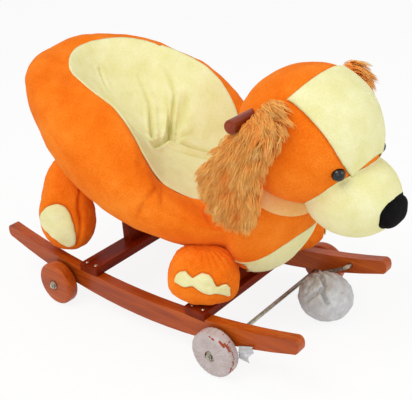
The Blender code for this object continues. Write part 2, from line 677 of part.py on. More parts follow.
def make_head():
    over_collar = COLLAR_THICK + 2 * GAP
    head = put(head_form(), "head", "orange_plush")
    boolean(head, form(CHEST, over_collar))
    boolean(head, neck_board(2 * GAP))
    boolean(head, cylinder(HANDLE, HANDLE_RADIUS + GAP, 2 * PAST))
    muzzle = put(form(MUZZLE), "muzzle", "cream_plush")
    boolean(muzzle, head_form(GAP))
    boolean(muzzle, form(CHEST, over_collar))
    nose = put(form(NOSE, 0.0, 14, 8), "nose", "black_plush")
    boolean(nose, form(MUZZLE, GAP))
    patch = put(head_form(PATCH_THICK), "forehead_patch", "cream_plush")
    boolean(patch, head_form(GAP))
    boolean(patch, forehead_prism(), "INTERSECT")
    boolean(patch, form(MUZZLE, GAP))
    for side, sign in SIDES.items():
        at = Vector((EYE_AT.x, sign * EYE_AT.y, EYE_AT.z))
        eye = put(ball(at, (EYE_RADIUS,) * 3, around=10, rings=7), f"eye_{side}", "black_gloss")
        boolean(eye, head_form(PATCH_THICK + GAP))
        boolean(eye, form(MUZZLE, GAP))


def forehead_prism():
    outline = [(b, y) for b, y in FOREHEAD_OUTLINE] + [(b, -y) for b, y in reversed(FOREHEAD_OUTLINE)]
    distance, half = FOREHEAD_CUT
    shape = prism(outline, half)
    axis = FOREHEAD_AXIS.normalized()
    across = Vector((axis.z, 0.0, -axis.x))
    stand = Matrix.Rotation(math.radians(-90), 4, "X")
    frame = Matrix((across, Vector((0, 1, 0)), axis)).transposed().to_4x4()
    shape.data.transform(Matrix.Translation(HEAD[0] + axis * distance) @ frame @ stand)
    return shape


def make_ears():
    for side, sign in SIDES.items():
        bm = bmesh.new()
        bmesh.ops.create_uvsphere(bm, u_segments=16, v_segments=12, radius=1.0)
        top = Vector((EAR_TOP.x, sign * EAR_TOP.y, EAR_TOP.z))
        bottom = Vector((EAR_BOTTOM.x, sign * EAR_BOTTOM.y, EAR_BOTTOM.z))
        down = (bottom - top).normalized()
        outward = (Vector((0, sign, 0)) - down * down.y * sign).normalized()
        wide = outward.cross(down) * sign
        for vert in bm.verts:
            along = 0.5 - 0.5 * vert.co.z
            place = along * (len(EAR_WIDTHS) - 1)
            index = min(int(place), len(EAR_WIDTHS) - 2)
            width = EAR_WIDTHS[index] + (EAR_WIDTHS[index + 1] - EAR_WIDTHS[index]) * (place - index)
            flat = math.hypot(vert.co.x, vert.co.y)
            full = max(0.0, 1 - vert.co.z ** 4) ** 0.5
            scale = full / flat if flat > 1e-6 else 0.0
            vert.co = (top.lerp(bottom, along) + wide * vert.co.x * scale * width / 2
                       + outward * vert.co.y * scale * EAR_THICK / 2)
        ear = put(mesh_object(bm), f"ear_{side}", "ear_pile")
        boolean(ear, head_form(2 * GAP))
        boolean(ear, cylinder(HANDLE, HANDLE_RADIUS + HANDLE_IN_EAR_GAP, 2 * PAST))
        boolean(ear, tub(GAP))


def limb(spec, sign, power, grow=0.0):
    centre = Vector((spec["centre"].x, sign * spec["centre"].y, spec["centre"].z))
    around, rings = LIMB_FACETS
    return ball(centre, spec["radii"], spec["tilt"], -sign * spec["yaw"], around, rings, power, grow,
                spec["taper"])


def limb_prism(spec, sign, outline):
    """An outline given along and up the limb's outer face, extruded out of the limb."""
    centre = Vector((spec["centre"].x, sign * spec["centre"].y, spec["centre"].z))
    shape = prism(outline, LIMB_CUT_HALF)
    turn = Matrix.Rotation(math.radians(-sign * spec["yaw"]), 4, "Z")
    shape.data.transform(Matrix.Translation(centre) @ turn @ Matrix.Translation((0, sign * LIMB_CUT_HALF, 0)))
    return shape


def make_legs():
    for side, sign in SIDES.items():
        spec = PAWS[side]
        paw = put(limb(spec, sign, PAW_BOX), f"front_leg_{side}", "orange_plush")
        toes = put(limb(spec, sign, PAW_BOX, PATCH_THICK), f"toes_{side}", "cream_plush")
        boolean(toes, limb(spec, sign, PAW_BOX, GAP))
        boolean(toes, limb_prism(spec, sign, TOE_OUTLINE), "INTERSECT")
        for piece in (paw, toes):
            boolean(piece, box((-PAST, -PAST, 0.0), (PAST, PAST, cross_bottom("front") + CROSS_THICK + GAP)))
            boolean(piece, form(CHEST, PATCH_THICK + GAP))
            boolean(piece, tub(GAP, hollow=False))
        hind = put(limb(HIND, sign, HIND_BOX), f"hind_leg_{side}", "orange_plush")
        boolean(hind, tub(GAP, hollow=False))
        sole = put(limb(HIND, sign, HIND_BOX, PATCH_THICK), f"sole_{side}", "cream_plush")
        boolean(sole, limb(HIND, sign, HIND_BOX, GAP))
        boolean(sole, limb_prism(HIND, sign, SOLE_OUTLINE), "INTERSECT")
        boolean(sole, tub(GAP, hollow=False))


for old in list(bpy.data.objects):
    bpy.data.objects.remove(old, do_unlink=True)
PARTS = collection(NAME)
CUTTERS = collection("cutters")
ROOT = bpy.data.objects.new("toy_origin", None)
PARTS.objects.link(ROOT)
ROOT.location = (CENTRE_SHIFT, 0.0, 0.0)
make_rockers()
make_crossbars()
make_uprights()
make_joint_empties()
make_bails()
make_wheels()
make_foam()
make_body()
make_collar()
make_head()
make_ears()
make_legs()
bpy.context.view_layer.update()
print(len([o for o in PARTS.objects if o.type == "MESH"]), "pieces made")
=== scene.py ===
# %% [markdown]
# A plush rocking dog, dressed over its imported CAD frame. The frame gives every board, rod and wheel in
# its true place, in metres. It could all be remodelled here, but the boards are right as they are, so
# this file gives them finishes and spends its work on the stuffed pieces, which swell, fold and are sewn
# in ways that a plain solid doesn't show.

# %% Load the frame
import math

import bpy
import numpy as np
from mathutils import Matrix, Vector, noise
from mathutils.bvhtree import BVHTree
from mathutils.kdtree import KDTree


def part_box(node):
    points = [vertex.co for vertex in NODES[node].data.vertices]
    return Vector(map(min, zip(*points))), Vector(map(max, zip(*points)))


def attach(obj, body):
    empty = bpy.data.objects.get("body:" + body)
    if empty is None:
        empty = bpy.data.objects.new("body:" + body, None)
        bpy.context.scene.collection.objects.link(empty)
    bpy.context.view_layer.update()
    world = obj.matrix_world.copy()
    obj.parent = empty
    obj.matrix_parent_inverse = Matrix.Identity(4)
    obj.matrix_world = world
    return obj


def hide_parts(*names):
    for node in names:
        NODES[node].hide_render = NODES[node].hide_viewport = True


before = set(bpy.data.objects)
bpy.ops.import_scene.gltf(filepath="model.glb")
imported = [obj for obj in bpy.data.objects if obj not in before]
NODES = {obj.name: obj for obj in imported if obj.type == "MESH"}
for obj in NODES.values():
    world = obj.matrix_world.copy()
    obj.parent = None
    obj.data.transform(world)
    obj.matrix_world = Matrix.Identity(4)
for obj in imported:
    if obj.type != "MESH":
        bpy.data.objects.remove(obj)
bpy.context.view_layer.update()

print("frame loaded:", len(NODES), "solids")

# %% [markdown]
# The toy was measured from the middle of its rockers. The frame's origin lies a little further forward,
# under the middle of the whole toy, so one helper moves a measured point into the frame.


# %% Places
SHIFT = 0.0415
SIDES = {"right": -1, "left": 1}
GAP = 0.0003


def place(x, y, z):
    return Vector((x - SHIFT, y, z))


def places(line, sign=1):
    """A line measured in millimetres, mirrored where sign is -1."""
    return [place(x / 1000, sign * y / 1000, z / 1000) for x, y, z in line]


print("the rockers' middle is at", place(0, 0, 0))

# %% [markdown]
# The camera comes first. It stands in front of the dog and to its right, a little above its head, where
# the toy's outline and the picture's agree. A camera in Blender looks along its own -Z, so its matrix is
# made of the three directions right, up and backwards.

# %% Camera
camera_data = bpy.data.cameras.new("camera")
camera = bpy.data.objects.new("camera", camera_data)
bpy.context.scene.collection.objects.link(camera)
right = Vector((0.77278, 0.63176, -0.06078))
up = Vector((-0.23897, 0.37834, 0.89429))
back = Vector((0.58797, -0.67656, 0.44335))
turn = Matrix((right, up, back)).transposed()
camera.matrix_world = Matrix.Translation(place(0.82314, -0.88943, 0.77750)) @ turn.to_4x4()
camera_data.lens = 69.64
camera_data.sensor_width = 36.0
bpy.context.scene.camera = camera
bpy.context.scene.view_settings.view_transform = "Standard"
print("camera stands at", camera.location)

# %% [markdown]
# Plain soft light: an even pale world, one large lamp over the camera's left shoulder, a low one beside
# the camera and a weak one from the far side. Together they light a surface to about its written colour.


# %% Lamps
def lamp(name, at, size, power, aim=(0, 0, 0.2)):
    data = bpy.data.lights.new(name, "AREA")
    data.shape = "DISK"
    data.size = size
    data.energy = power
    obj = bpy.data.objects.new(name, data)
    bpy.context.scene.collection.objects.link(obj)
    facing = (Vector(aim) - Vector(at)).to_track_quat("-Z", "Y")
    obj.matrix_world = Matrix.Translation(at) @ facing.to_matrix().to_4x4()


lamp("key_lamp", (-0.12, -1.05, 1.95), 1.3, 14.5)
lamp("front_lamp", (0.75, -1.30, 0.75), 1.2, 2.5)
lamp("side_lamp", (1.7, 0.5, 1.1), 1.2, 6.0)

# %% [markdown]
# Materials are small node trees. One helper adds a node with its settings and links, with the help of one
# that sets up a node that is there already, and one turns a written sRGB colour into the linear light that
# shaders work in. A ramp's stops are a setting too: a place, and a colour or one number for a grey. Every
# kind of node is called ShaderNode and its name, so only the name is written.


# %% Material helpers
def linear(code):
    parts = [int(code[i:i + 2], 16) / 255 for i in (1, 3, 5)]
    return (*[c / 12.92 if c <= 0.04045 else ((c + 0.055) / 1.055) ** 2.4 for c in parts], 1.0)


def wire(tree, made, settings=None, links=None):
    for key, value in (settings or {}).items():
        if key == "stops":
            line = made.color_ramp.elements
            while len(line) < len(value):
                line.new(0.5)
            for element, (where, code) in zip(line, value):
                element.position = where
                element.color = linear(code) if isinstance(code, str) else (code, code, code, 1.0)
        elif isinstance(key, int) or key in made.inputs:
            made.inputs[key].default_value = value
        else:
            setattr(made, key, value)
    for key, socket in (links or {}).items():
        tree.links.new(socket, made.inputs[key])
    return made


def node(tree, kind, settings=None, links=None):
    return wire(tree, tree.nodes.new("ShaderNode" + kind), settings, links)


def fresh(name):
    made = bpy.data.materials.new(name)
    made.use_nodes = True
    tree = made.node_tree
    return tree, tree.nodes["Principled BSDF"], node(tree, "TexCoord").outputs["Object"], made


print("2 mm pattern has noise scale", 1 / 0.002)

# %% [markdown]
# White studio: the floor is matt and pale. For the camera and for mirror-like surfaces it is mixed with a
# plain glow of strength 1, so it shows white, while the part that stays matt still takes the shadow. The
# world does the same, so the far background is white without lighting the toy more.


# %% Floor and world
FLOOR_GLOW, WORLD_LIGHT = 0.87, 0.66


def seen_directly(tree):
    """1 for rays from the camera, mirrors and glass, 0 for rays that only carry light."""
    rays, total = node(tree, "LightPath"), None
    for kind in ("Is Camera Ray", "Is Glossy Ray", "Is Transmission Ray"):
        links = {0: rays.outputs[kind]} if total is None else {0: rays.outputs[kind], 1: total}
        total = node(tree, "Math", {"operation": "ADD", "use_clamp": True, 1: 0.0}, links).outputs[0]
    return total


bpy.ops.object.select_all(action="DESELECT")
bpy.ops.mesh.primitive_plane_add(size=12.0, location=(0, 0, 0))
floor = bpy.context.object
floor.name = "floor"
tree, shader, spot, floor_finish = fresh("pale_studio_floor")
grain = node(tree, "TexNoise", {"Scale": 40.0, "Detail": 2.0}, {"Vector": spot}).outputs["Fac"]
pale = node(tree, "ValToRGB", {"stops": [(0.3, "#F8F8F8"), (0.7, "#FBFBFB")]}, {"Fac": grain})
wire(tree, shader, {"Roughness": 0.9, "Specular IOR Level": 0.0}, {"Base Color": pale.outputs[0]})
share = node(tree, "Math", {"operation": "MULTIPLY", 1: FLOOR_GLOW}, {0: seen_directly(tree)})
glow = node(tree, "Emission", {"Strength": 1.0})
mixed = node(tree, "MixShader", {}, {0: share.outputs[0], 1: shader.outputs[0], 2: glow.outputs[0]})
wire(tree, tree.nodes["Material Output"], {}, {"Surface": mixed.outputs[0]})
floor.data.materials.append(floor_finish)

world = bpy.data.worlds.new("studio_world")
bpy.context.scene.world = world
world.use_nodes = True
tree = world.node_tree
tree.nodes.clear()
strength = node(tree, "MapRange", {"To Min": WORLD_LIGHT, "To Max": 1.0},
                {"Value": seen_directly(tree)})
sky = node(tree, "Background", {"Color": (1, 1, 1, 1)}, {"Strength": strength.outputs[0]})
node(tree, "OutputWorld", links={"Surface": sky.outputs[0]})
print("floor and world made")

# %% [markdown]
# Plush is a knitted polyester cloth with a cut pile about 3 mm long. The pile scatters light, so there is
# no shine, only a faint sheen where it is seen edge on. Where a hand has brushed it the other way it looks
# darker. In a fold the colour is darkened with painted shade, as far as an attribute says. Fine noise of
# about
# 2 mm gives the tufts, and noise of 30 mm, or 60 mm on the orange cloth, gives the brushed patches.


# %% Plush finishes
def plush(name, deep, middle, pale, sheen, fold, patch=0.030, bump=0.0011):
    tree, shader, spot, made = fresh(name)
    brushed, tufts = [
        node(tree, "TexNoise", {"Scale": 1 / size, "Detail": detail, "Roughness": rough},
             {"Vector": spot}).outputs["Fac"]
        for size, detail, rough in ((patch, 4.0, 0.6), (0.0021, 3.0, 0.65))]
    both = node(tree, "Mix", {"data_type": "FLOAT", "Factor": 0.45}, {"A": brushed, "B": tufts})
    colour = node(tree, "ValToRGB", {"stops": [(0.36, deep), (0.50, middle), (0.64, pale)]},
                  {"Fac": both.outputs["Result"]})
    # The fold attribute sets how much painted crease shade, the fold colour, is mixed into the pile's colour.
    crease_shade = node(tree, "Attribute", {"attribute_name": "fold"})
    crease_shaded = node(tree, "Mix", {"data_type": "RGBA", 7: linear(fold)},
                  {"Factor": crease_shade.outputs["Fac"], 6: colour.outputs[0]})
    relief = node(tree, "Bump", {"Strength": 0.8, "Distance": bump}, {"Height": tufts})
    wire(tree, shader, {"Roughness": 0.95, "Specular IOR Level": 0.08, "Sheen Weight": 0.22,
                        "Sheen Roughness": 0.45, "Sheen Tint": linear(sheen)},
         {"Base Color": crease_shaded.outputs[2], "Normal": relief.outputs[0]})
    return made


# The fifth colour of each plush is painted shade, mixed in along creases and tufts.
ORANGE = plush("orange_polyester_plush", "#EA680A", "#F67A17", "#FE8E2A", "#FFB060", "#C23C02", patch=0.060)
CREAM = plush("cream_polyester_plush", "#E6E19C", "#EDE9AE", "#F4F1C2", "#FFFFE8", "#C9BC5C")
TAN = plush("tan_polyester_plush", "#EFB468", "#F6C078", "#FCCF90", "#FFE0B0", "#B87838")
BLACK = plush("black_polyester_plush", "#070606", "#0E0D0D", "#171515", "#4A4644", "#040404", bump=0.0007)
print("plush finishes made")

# %% [markdown]
# The boards and wheels are a pale hardwood, sawn and sanded, stained reddish brown and sprayed with a
# thin lacquer. Grain is noise stretched along the board: streaks about 2 mm wide and 60 mm long, over
# slower ones where the stain took unevenly. The lacquer is a weak clear coat.


# %% Stained wood
def stained_wood(name, along, dark="#8A3204", middle="#AE4A0A", pale="#C8641C", gloss=1.0):
    tree, shader, spot, made = fresh(name)
    looks = []
    for lengthwise, across, detail in ((14.0, 420.0, 4.0), (3.0, 40.0, 3.0)):
        stretch = [lengthwise if axis == along else across for axis in range(3)]
        spread = node(tree, "Mapping", {"Scale": stretch}, {"Vector": spot})
        looks.append(node(tree, "TexNoise", {"Scale": 1.0, "Detail": detail, "Roughness": 0.6},
                          {"Vector": spread.outputs[0]}).outputs["Fac"])
    both = node(tree, "Mix", {"data_type": "FLOAT", "Factor": 0.6}, {"A": looks[0], "B": looks[1]})
    colour = node(tree, "ValToRGB", {"stops": [(0.34, dark), (0.50, middle), (0.66, pale)]},
                  {"Fac": both.outputs["Result"]})
    rough = node(tree, "ValToRGB", {"stops": [(0.3, 0.36), (0.7, 0.46)]}, {"Fac": looks[1]})
    relief = node(tree, "Bump", {"Strength": 0.2, "Distance": 0.0003}, {"Height": looks[0]})
    wire(tree, shader,
         {"Specular IOR Level": 0.25 * gloss, "Coat Weight": 0.09 * gloss, "Coat Roughness": 0.25},
         {"Base Color": colour.outputs[0], "Roughness": rough.outputs[0], "Normal": relief.outputs[0]})
    return made


WOOD_ALONG = [stained_wood(f"stained_hardwood_{'xyz'[axis]}", axis) for axis in range(3)]
# The crossbars and posts get a darker copy of the same wood: painted shade for the shadow they stand in.
SHADED_WOOD = stained_wood("stained_hardwood_painted_shade", 1, "#581200", "#762202", "#8C3208", 0.3)
HANDLE_WOOD = stained_wood("turned_handle_wood", 1, "#5E1802", "#822E06", "#A24814")
PLY = stained_wood("raw_plywood", 0, "#B08D5E", "#C6A878", "#D8BE92")
print("wood finishes made")

# %% [markdown]
# The rods, nuts and screws are zinc plated steel. Plating is a bare metal with a faint cloudy roughness,
# and metal has no colour of its own under the reflection, so the base colour is the reflection's colour.

# %% Zinc plated steel
tree, shader, spot, STEEL = fresh("zinc_plated_steel")
cloud = node(tree, "TexNoise", {"Scale": 1 / 0.006, "Detail": 4.0}, {"Vector": spot}).outputs["Fac"]
colour = node(tree, "ValToRGB", {"stops": [(0.3, "#9C9888"), (0.7, "#C2BFB2")]}, {"Fac": cloud})
rough = node(tree, "ValToRGB", {"stops": [(0.3, 0.26), (0.7, 0.42)]}, {"Fac": cloud})
wire(tree, shader, {"Metallic": 1.0}, {"Base Color": colour.outputs[0], "Roughness": rough.outputs[0]})
print("steel finish made")

# %% [markdown]
# Hard parts keep their CAD solids. Each gets the wood whose grain runs along it.

# %% Finishes on the solids
# The crossbars and posts take the wood copy that is darkened by painted shade.
finishes = {"rocker": WOOD_ALONG[0], "crossbar": SHADED_WOOD, "post": SHADED_WOOD, "handle": HANDLE_WOOD,
            "wheel_front_right": WOOD_ALONG[0], "seat_board": PLY, "neck_board": PLY, "axle": STEEL,
            "screw": STEEL}
for name, obj in NODES.items():
    for start, finish in finishes.items():
        if name.startswith(start):
            obj.data.materials.clear()
            obj.data.materials.append(finish)
print("solids finished:", sum(name.startswith(tuple(finishes)) for name in NODES))

# %% [markdown]
# Soft pieces are primitives that are pushed into shape point by point, the way clay is. These helpers
# read a mesh's points as one table of numbers and write them back, move each point along its normal, add a
# primitive by itself, edit a whole mesh or apply a modifier with Blender's own operators, and finish a piece.


# %% Point helpers
def points_of(obj, kind="co"):
    table = np.empty(len(obj.data.vertices) * 3)
    obj.data.vertices.foreach_get(kind, table)
    return table.reshape(-1, 3)


def set_points(obj, table):
    obj.data.vertices.foreach_set("co", np.asarray(table, dtype=float).ravel())
    obj.data.update()
def swell(obj, by):
    """Moves each point outwards along its normal by its own distance."""
    set_points(obj, points_of(obj) + points_of(obj, "normal") * by[:, None])


def bell(far):
    return np.exp(-far ** 2)


def smoothed(row, reach, width, ends):
    """Each value becomes a weighted mean of its neighbours."""
    soft = bell(np.arange(-reach, reach + 1) / width)
    return np.convolve(np.pad(row, reach, ends), soft / soft.sum(), "valid")


def unit_rows(table):
    return table / np.maximum(np.linalg.norm(table, axis=1), 1e-9)[:, None]

def added(kind, name, **sizes):
    bpy.ops.object.select_all(action="DESELECT")
    getattr(bpy.ops.mesh, f"primitive_{kind}_add")(**sizes)
    obj = bpy.context.object
    obj.name = name
    return obj


def only(*objs):
    bpy.ops.object.select_all(action="DESELECT")
    for obj in objs:
        obj.select_set(True)
    bpy.context.view_layer.objects.active = objs[0]


def applied(obj, kind, **settings):
    only(obj)
    step = obj.modifiers.new(kind.lower(), kind)
    for key, value in settings.items():
        setattr(step, key, value)
    bpy.ops.object.modifier_apply(modifier=step.name)


def edit(obj, *steps):
    """Runs each step in edit mode, with the whole mesh picked at the start."""
    only(obj)
    bpy.ops.object.mode_set(mode="EDIT")
    bpy.ops.mesh.select_all(action="SELECT")
    for step in steps:
        step()
    bpy.ops.object.mode_set(mode="OBJECT")


def outwards(obj):
    edit(obj, lambda: bpy.ops.mesh.remove_doubles(threshold=0.00005),
         lambda: bpy.ops.mesh.normals_make_consistent(inside=False))


def dress(obj, finish, slot, body, *nodes, fill=0.8):
    obj.data.materials.clear()
    obj.data.materials.append(finish)
    if fill is not None:
        obj.data.shade_smooth()
    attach(obj, body)
    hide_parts(*nodes)
    print(obj.name, len(obj.data.polygons), "faces")
    return obj


print("point helpers ready")

# %% [markdown]
# Three bare wheels are turned from the same stained wood: a disc whose rims are rounded on the lathe, with
# a shallow recess round the bore. A cylinder is bevelled, its ends are inset, and the bore is bridged from
# side to side. It is modelled once, with its face up, and each copy is turned to face out of its side.


# %% Bare wheels
def pick_faces(obj, test):
    if bpy.context.mode != "OBJECT":
        bpy.ops.object.mode_set(mode="OBJECT")
    only(obj)
    bpy.ops.object.mode_set(mode="EDIT")
    bpy.ops.mesh.select_mode(type="FACE")
    bpy.ops.mesh.select_all(action="DESELECT")
    bpy.ops.object.mode_set(mode="OBJECT")
    for face in obj.data.polygons:
        face.select = test(face)
    bpy.ops.object.mode_set(mode="EDIT")


def laid(model, name, at, sign):
    """A copy whose top faces right or left, at its place."""
    obj = bpy.data.objects.new(name, model.data.copy())
    bpy.context.scene.collection.objects.link(obj)
    obj.data.transform(Matrix.Translation(at) @ Matrix.Rotation(math.radians(-90 * sign), 4, "X"))
    return obj


WHEEL_RADIUS, WHEEL_THICK, WHEEL_OUT, BORE = 0.03875, 0.0225, 0.166, 0.0042
RIM_ROUND, RECESS_RADIUS, RECESS_DEPTH = 0.0055, 0.0095, 0.0012
AXLES = {"front": 0.182, "rear": -0.172}
model = added("cylinder", "turned_wheel", vertices=96, radius=WHEEL_RADIUS, depth=WHEEL_THICK)
applied(model, "BEVEL", width=RIM_ROUND, segments=5, limit_method="ANGLE")
pick_faces(model, lambda face: abs(face.normal.z) > 0.999 and face.area > 0.001)
bpy.ops.mesh.inset(thickness=WHEEL_RADIUS - RIM_ROUND - RECESS_RADIUS)
pick_faces(model, lambda face: face.normal.z > 0.999 and face.center.xy.length < 0.001)
bpy.ops.mesh.extrude_region_move(TRANSFORM_OT_translate={"value": (0, 0, -RECESS_DEPTH)})
pick_faces(model, lambda face: abs(face.normal.z) > 0.999 and face.center.xy.length < 0.001)
bpy.ops.mesh.inset(thickness=RECESS_RADIUS - BORE)
bpy.ops.mesh.delete(type="FACE")
bpy.ops.mesh.select_mode(type="EDGE")
bpy.ops.mesh.select_non_manifold()
bpy.ops.mesh.bridge_edge_loops()
bpy.ops.object.mode_set(mode="OBJECT")
outwards(model)
bpy.ops.object.shade_smooth_by_angle(angle=math.radians(40))
for end, side in (("front", "left"), ("rear", "right"), ("rear", "left")):
    at = place(AXLES[end], SIDES[side] * (WHEEL_OUT - WHEEL_THICK / 2), WHEEL_RADIUS)
    wheel = laid(model, f"turned_wheel_{end}_{side}", at, SIDES[side])
    dress(wheel, WOOD_ALONG[0], "stained_wood", f"{end}_{side}_wheel", f"wheel_{end}_{side}", fill=None)
bpy.data.objects.remove(model)

# %% [markdown]
# Each axle ends in a washer and a nut run down on the rod. They are three bevelled cylinders, the nut
# with six sides, joined and copied to the four hubs.

# %% Nuts and washers
stack = []
for name, sides, radius, low, high in (
        ("washer", 40, 0.0072, 0.0, 0.0011), ("nut", 6, 0.0059, 0.0011, 0.0048),
        ("rod_end", 24, 0.0031, 0.0048, 0.0070)):
    at = (0, 0, (low + high) / 2)
    piece = added("cylinder", name, vertices=sides, radius=radius, depth=high - low, location=at)
    bpy.ops.object.transform_apply(location=True)
    applied(piece, "BEVEL", width=0.0004, segments=2, limit_method="ANGLE")
    stack.append(piece)
only(*stack)
bpy.ops.object.join()
model = bpy.context.object
bpy.ops.object.shade_smooth_by_angle(angle=math.radians(35))
for end in AXLES:
    for side, sign in SIDES.items():
        at = place(AXLES[end], sign * (WHEEL_OUT + GAP), WHEEL_RADIUS)
        hub = laid(model, f"axle_nut_{end}_{side}", at, sign)
        dress(hub, STEEL, "steel", f"{end}_axle", f"hub_cap_{end}_{side}", fill=None)
bpy.data.objects.remove(model)

# %% [markdown]
# A stuffed form is a sphere pulled to its width, length and height, squarer or narrower where the real
# one is. Pieces lie against each other, are drawn in along their seams, and crease where the cloth has
# too much width. Each of these is a small move of the points near a surface or near a line.


# %% Stuffed forms
def stuffed(name, centre, radii, tilt=0.0, yaw=0.0, power=2.0, taper=0.0, face=0.0, segments=96, rings=64):
    obj = added("uv_sphere", name, segments=segments, ring_count=rings, radius=1.0)
    table = points_of(obj)
    table /= ((np.abs(table) ** power).sum(1) ** (1 / power))[:, None]
    narrow, slim = 1 - taper * table[:, 2], 1 - face * np.maximum(0, table[:, 0])
    table = table * np.array(radii) * np.stack([narrow, narrow * slim, np.ones(len(table))], 1)
    turned = Matrix.Rotation(math.radians(yaw), 3, "Z") @ Matrix.Rotation(math.radians(tilt), 3, "Y")
    set_points(obj, table @ np.array(turned).T + np.array(centre))
    return obj


def settle(obj, height, width, seed):
    """Low waves over the surface, as filling leaves them."""
    shift = Vector((seed * 3.7, seed * 1.3, seed * 2.1))
    wave = np.array([noise.fractal(Vector(p) / width + shift, 1.0, 2.0, 3) for p in points_of(obj)])
    swell(obj, wave * height)


def tree_of(obj):
    return BVHTree.FromPolygons([v.co for v in obj.data.vertices], [p.vertices for p in obj.data.polygons])


def press(obj, wall, gap=GAP, chosen=None, reach=1.0):
    """Lays points of obj that are inside a form, or less than gap outside it, on its surface plus the gap.
    Only the chosen points move, and none that is further than reach from the surface."""
    table = points_of(obj)
    for i in range(len(table)) if chosen is None else np.nonzero(chosen)[0]:
        p = table[i]
        at, out, _, _ = wall.find_nearest(Vector(p))
        if at is not None and (Vector(p) - at).dot(out) < gap and (Vector(p) - at).length < reach:
            table[i] = at + out * gap
    set_points(obj, table)


def far_from(table, line):
    """How far each point is from a line of points, and the share of the line passed at the nearest place."""
    line = np.array(line, dtype=float)
    best, share = np.full(len(table), 9.0), np.zeros(len(table))
    for i, (a, b) in enumerate(zip(line, line[1:])):
        t = np.clip((table - a) @ (b - a) / max(1e-12, (b - a) @ (b - a)), 0, 1)
        far = np.linalg.norm(table - a - t[:, None] * (b - a), axis=1)
        nearer = far < best
        best[nearer], share[nearer] = far[nearer], (i + t[nearer]) / (len(line) - 1)
    return best, share


def paint_crease_shade(obj, share):
    """Raises the attribute that sets how much painted crease shade the finish mixes in."""
    layer = obj.data.attributes.get("fold") or obj.data.attributes.new("fold", "FLOAT", "POINT")
    known = np.empty(len(obj.data.vertices))
    layer.data.foreach_get("value", known)
    layer.data.foreach_set("value", np.maximum(known, share))


def groove(obj, line, width, depth, shade=0.0):
    """A seam or fold: points near the line sink by depth, most on the line itself, or rise where depth is
    less than 0. Where shade is given, the finish also paints shade along the crease."""
    far, _ = far_from(points_of(obj), line)
    swell(obj, -depth * bell(far / width))
    if shade:
        paint_crease_shade(obj, shade * bell(1.4 * far / width))


print("form helpers ready")

# %% [markdown]
# Padded cloth is made by simulation. The form is remeshed evenly, drawn in a little, and given a Cloth
# modifier with air pressure inside, no gravity, and slightly more cloth than it needs, so that it swells
# and slackens as a filled cover does. No point may move further than a cap, which keeps the piece in the
# place that its solid holds.


# %% Cloth
FULLER, CLOTH_STEPS = 0.0006, 20


def plump(obj, voxel, cap, spare=0.02, held=None, pressure=4.0):
    only(obj)
    obj.data.remesh_voxel_size = voxel
    bpy.ops.object.voxel_remesh()
    free = np.ones(len(obj.data.vertices)) if held is None else 1.0 - held(points_of(obj))
    form, out = points_of(obj), points_of(obj, "normal")
    start = form - out * (0.5 * cap * free)[:, None]
    set_points(obj, start)
    cloth = obj.modifiers.new("cloth", "CLOTH")
    cloth.settings.use_pressure = True
    cloth.settings.uniform_pressure_force = pressure
    cloth.settings.effector_weights.gravity = 0.0
    cloth.settings.shrink_min = -spare
    cloth.settings.bending_stiffness = 1.0
    if held is not None:
        pinned = obj.vertex_groups.new(name="held")
        pinned.add([int(i) for i in np.nonzero(free < 0.5)[0]], 1.0, "REPLACE")
        cloth.settings.vertex_group_mass = "held"
    cloth.collision_settings.use_collision = False
    for step in range(1, CLOTH_STEPS + 1):
        bpy.context.scene.frame_set(step)
    bpy.ops.object.modifier_apply(modifier=cloth.name)
    bpy.context.scene.frame_set(1)
    moved = points_of(obj) - start
    far = np.maximum(np.linalg.norm(moved, axis=1), 1e-9)
    moved = start - form + moved * (cap * np.tanh(far / cap) / far)[:, None]
    short = FULLER - float(((moved * out).sum(1) * free).sum() / free.sum())
    set_points(obj, form + moved + out * (short * free)[:, None])
    print(obj.name, "moved", round(float(far.mean()) * 1000, 1), "mm, filled by", round(short * 1000, 1))
    applied(obj, "SUBSURF", levels=1, render_levels=1)
    return obj


# %% [markdown]
# The seat is a tilted bowl with a rolled rim that dips at the front, over the child's knees, and stands
# high at the back. Rim and wall are read from two short tables of places round the bowl and smoothed.

# %% Bowl shape
TUB_CENTRE = np.array(place(-0.044, 0.0, 0.307))
TUB_TURN = np.array(Matrix.Rotation(math.radians(24.7), 3, "Y"))
TUB_RADII = (0.251, 0.172, 0.130)
ROLL = 0.051
DEGREES = np.arange(-180, 180)


def round_bowl(table):
    """One value a degree from each column of a table of the half circle, with eased wide steps."""
    rows = np.array(table, dtype=float)
    index = np.clip(np.searchsorted(rows[:, 0], np.abs(DEGREES)) - 1, 0, len(rows) - 2)
    step = rows[index + 1, 0] - rows[index, 0]
    share = (np.abs(DEGREES) - rows[index, 0]) / step
    share = np.where(step > 30, 0.5 - 0.5 * np.cos(np.pi * share), share)
    columns = rows[index] + (rows[index + 1] - rows[index]) * share[:, None]
    return [smoothed(column, 12, 4.0, "wrap") for column in columns[:, 1:].T]


RIM = round_bowl((
    (0, 0.750, 0.0085), (37, 0.762, -0.003), (50, 0.750, 0.0035), (56, 0.748, 0.008), (66, 0.724, 0.032),
    (74, 0.696, 0.052), (84, 0.662, 0.067), (95, 0.649, 0.074), (105, 0.669, 0.0725), (121, 0.703, 0.065),
    (134, 0.742, 0.058), (180, 0.733, 0.049)))
WALL = round_bowl((
    (0, 0.065, 1.80, -0.001, -0.015), (50, 0.040, 1.75, 0.000, 0.002), (90, 0.022, 1.90, 0.001, -0.006),
    (130, 0.034, 1.85, -0.010, 0.022), (180, 0.009, 1.70, 0.004, -0.028)))


def read(columns, angle):
    return [np.interp(np.degrees(angle), DEGREES, column, period=360) for column in columns]


def in_frame(x, y, z):
    return np.stack([x, y, z], 1) @ TUB_TURN.T + TUB_CENTRE


FLOOR_X, FLOOR_Z = 0.034, -0.021        # the seat's lowest place, as the tilted bowl measures


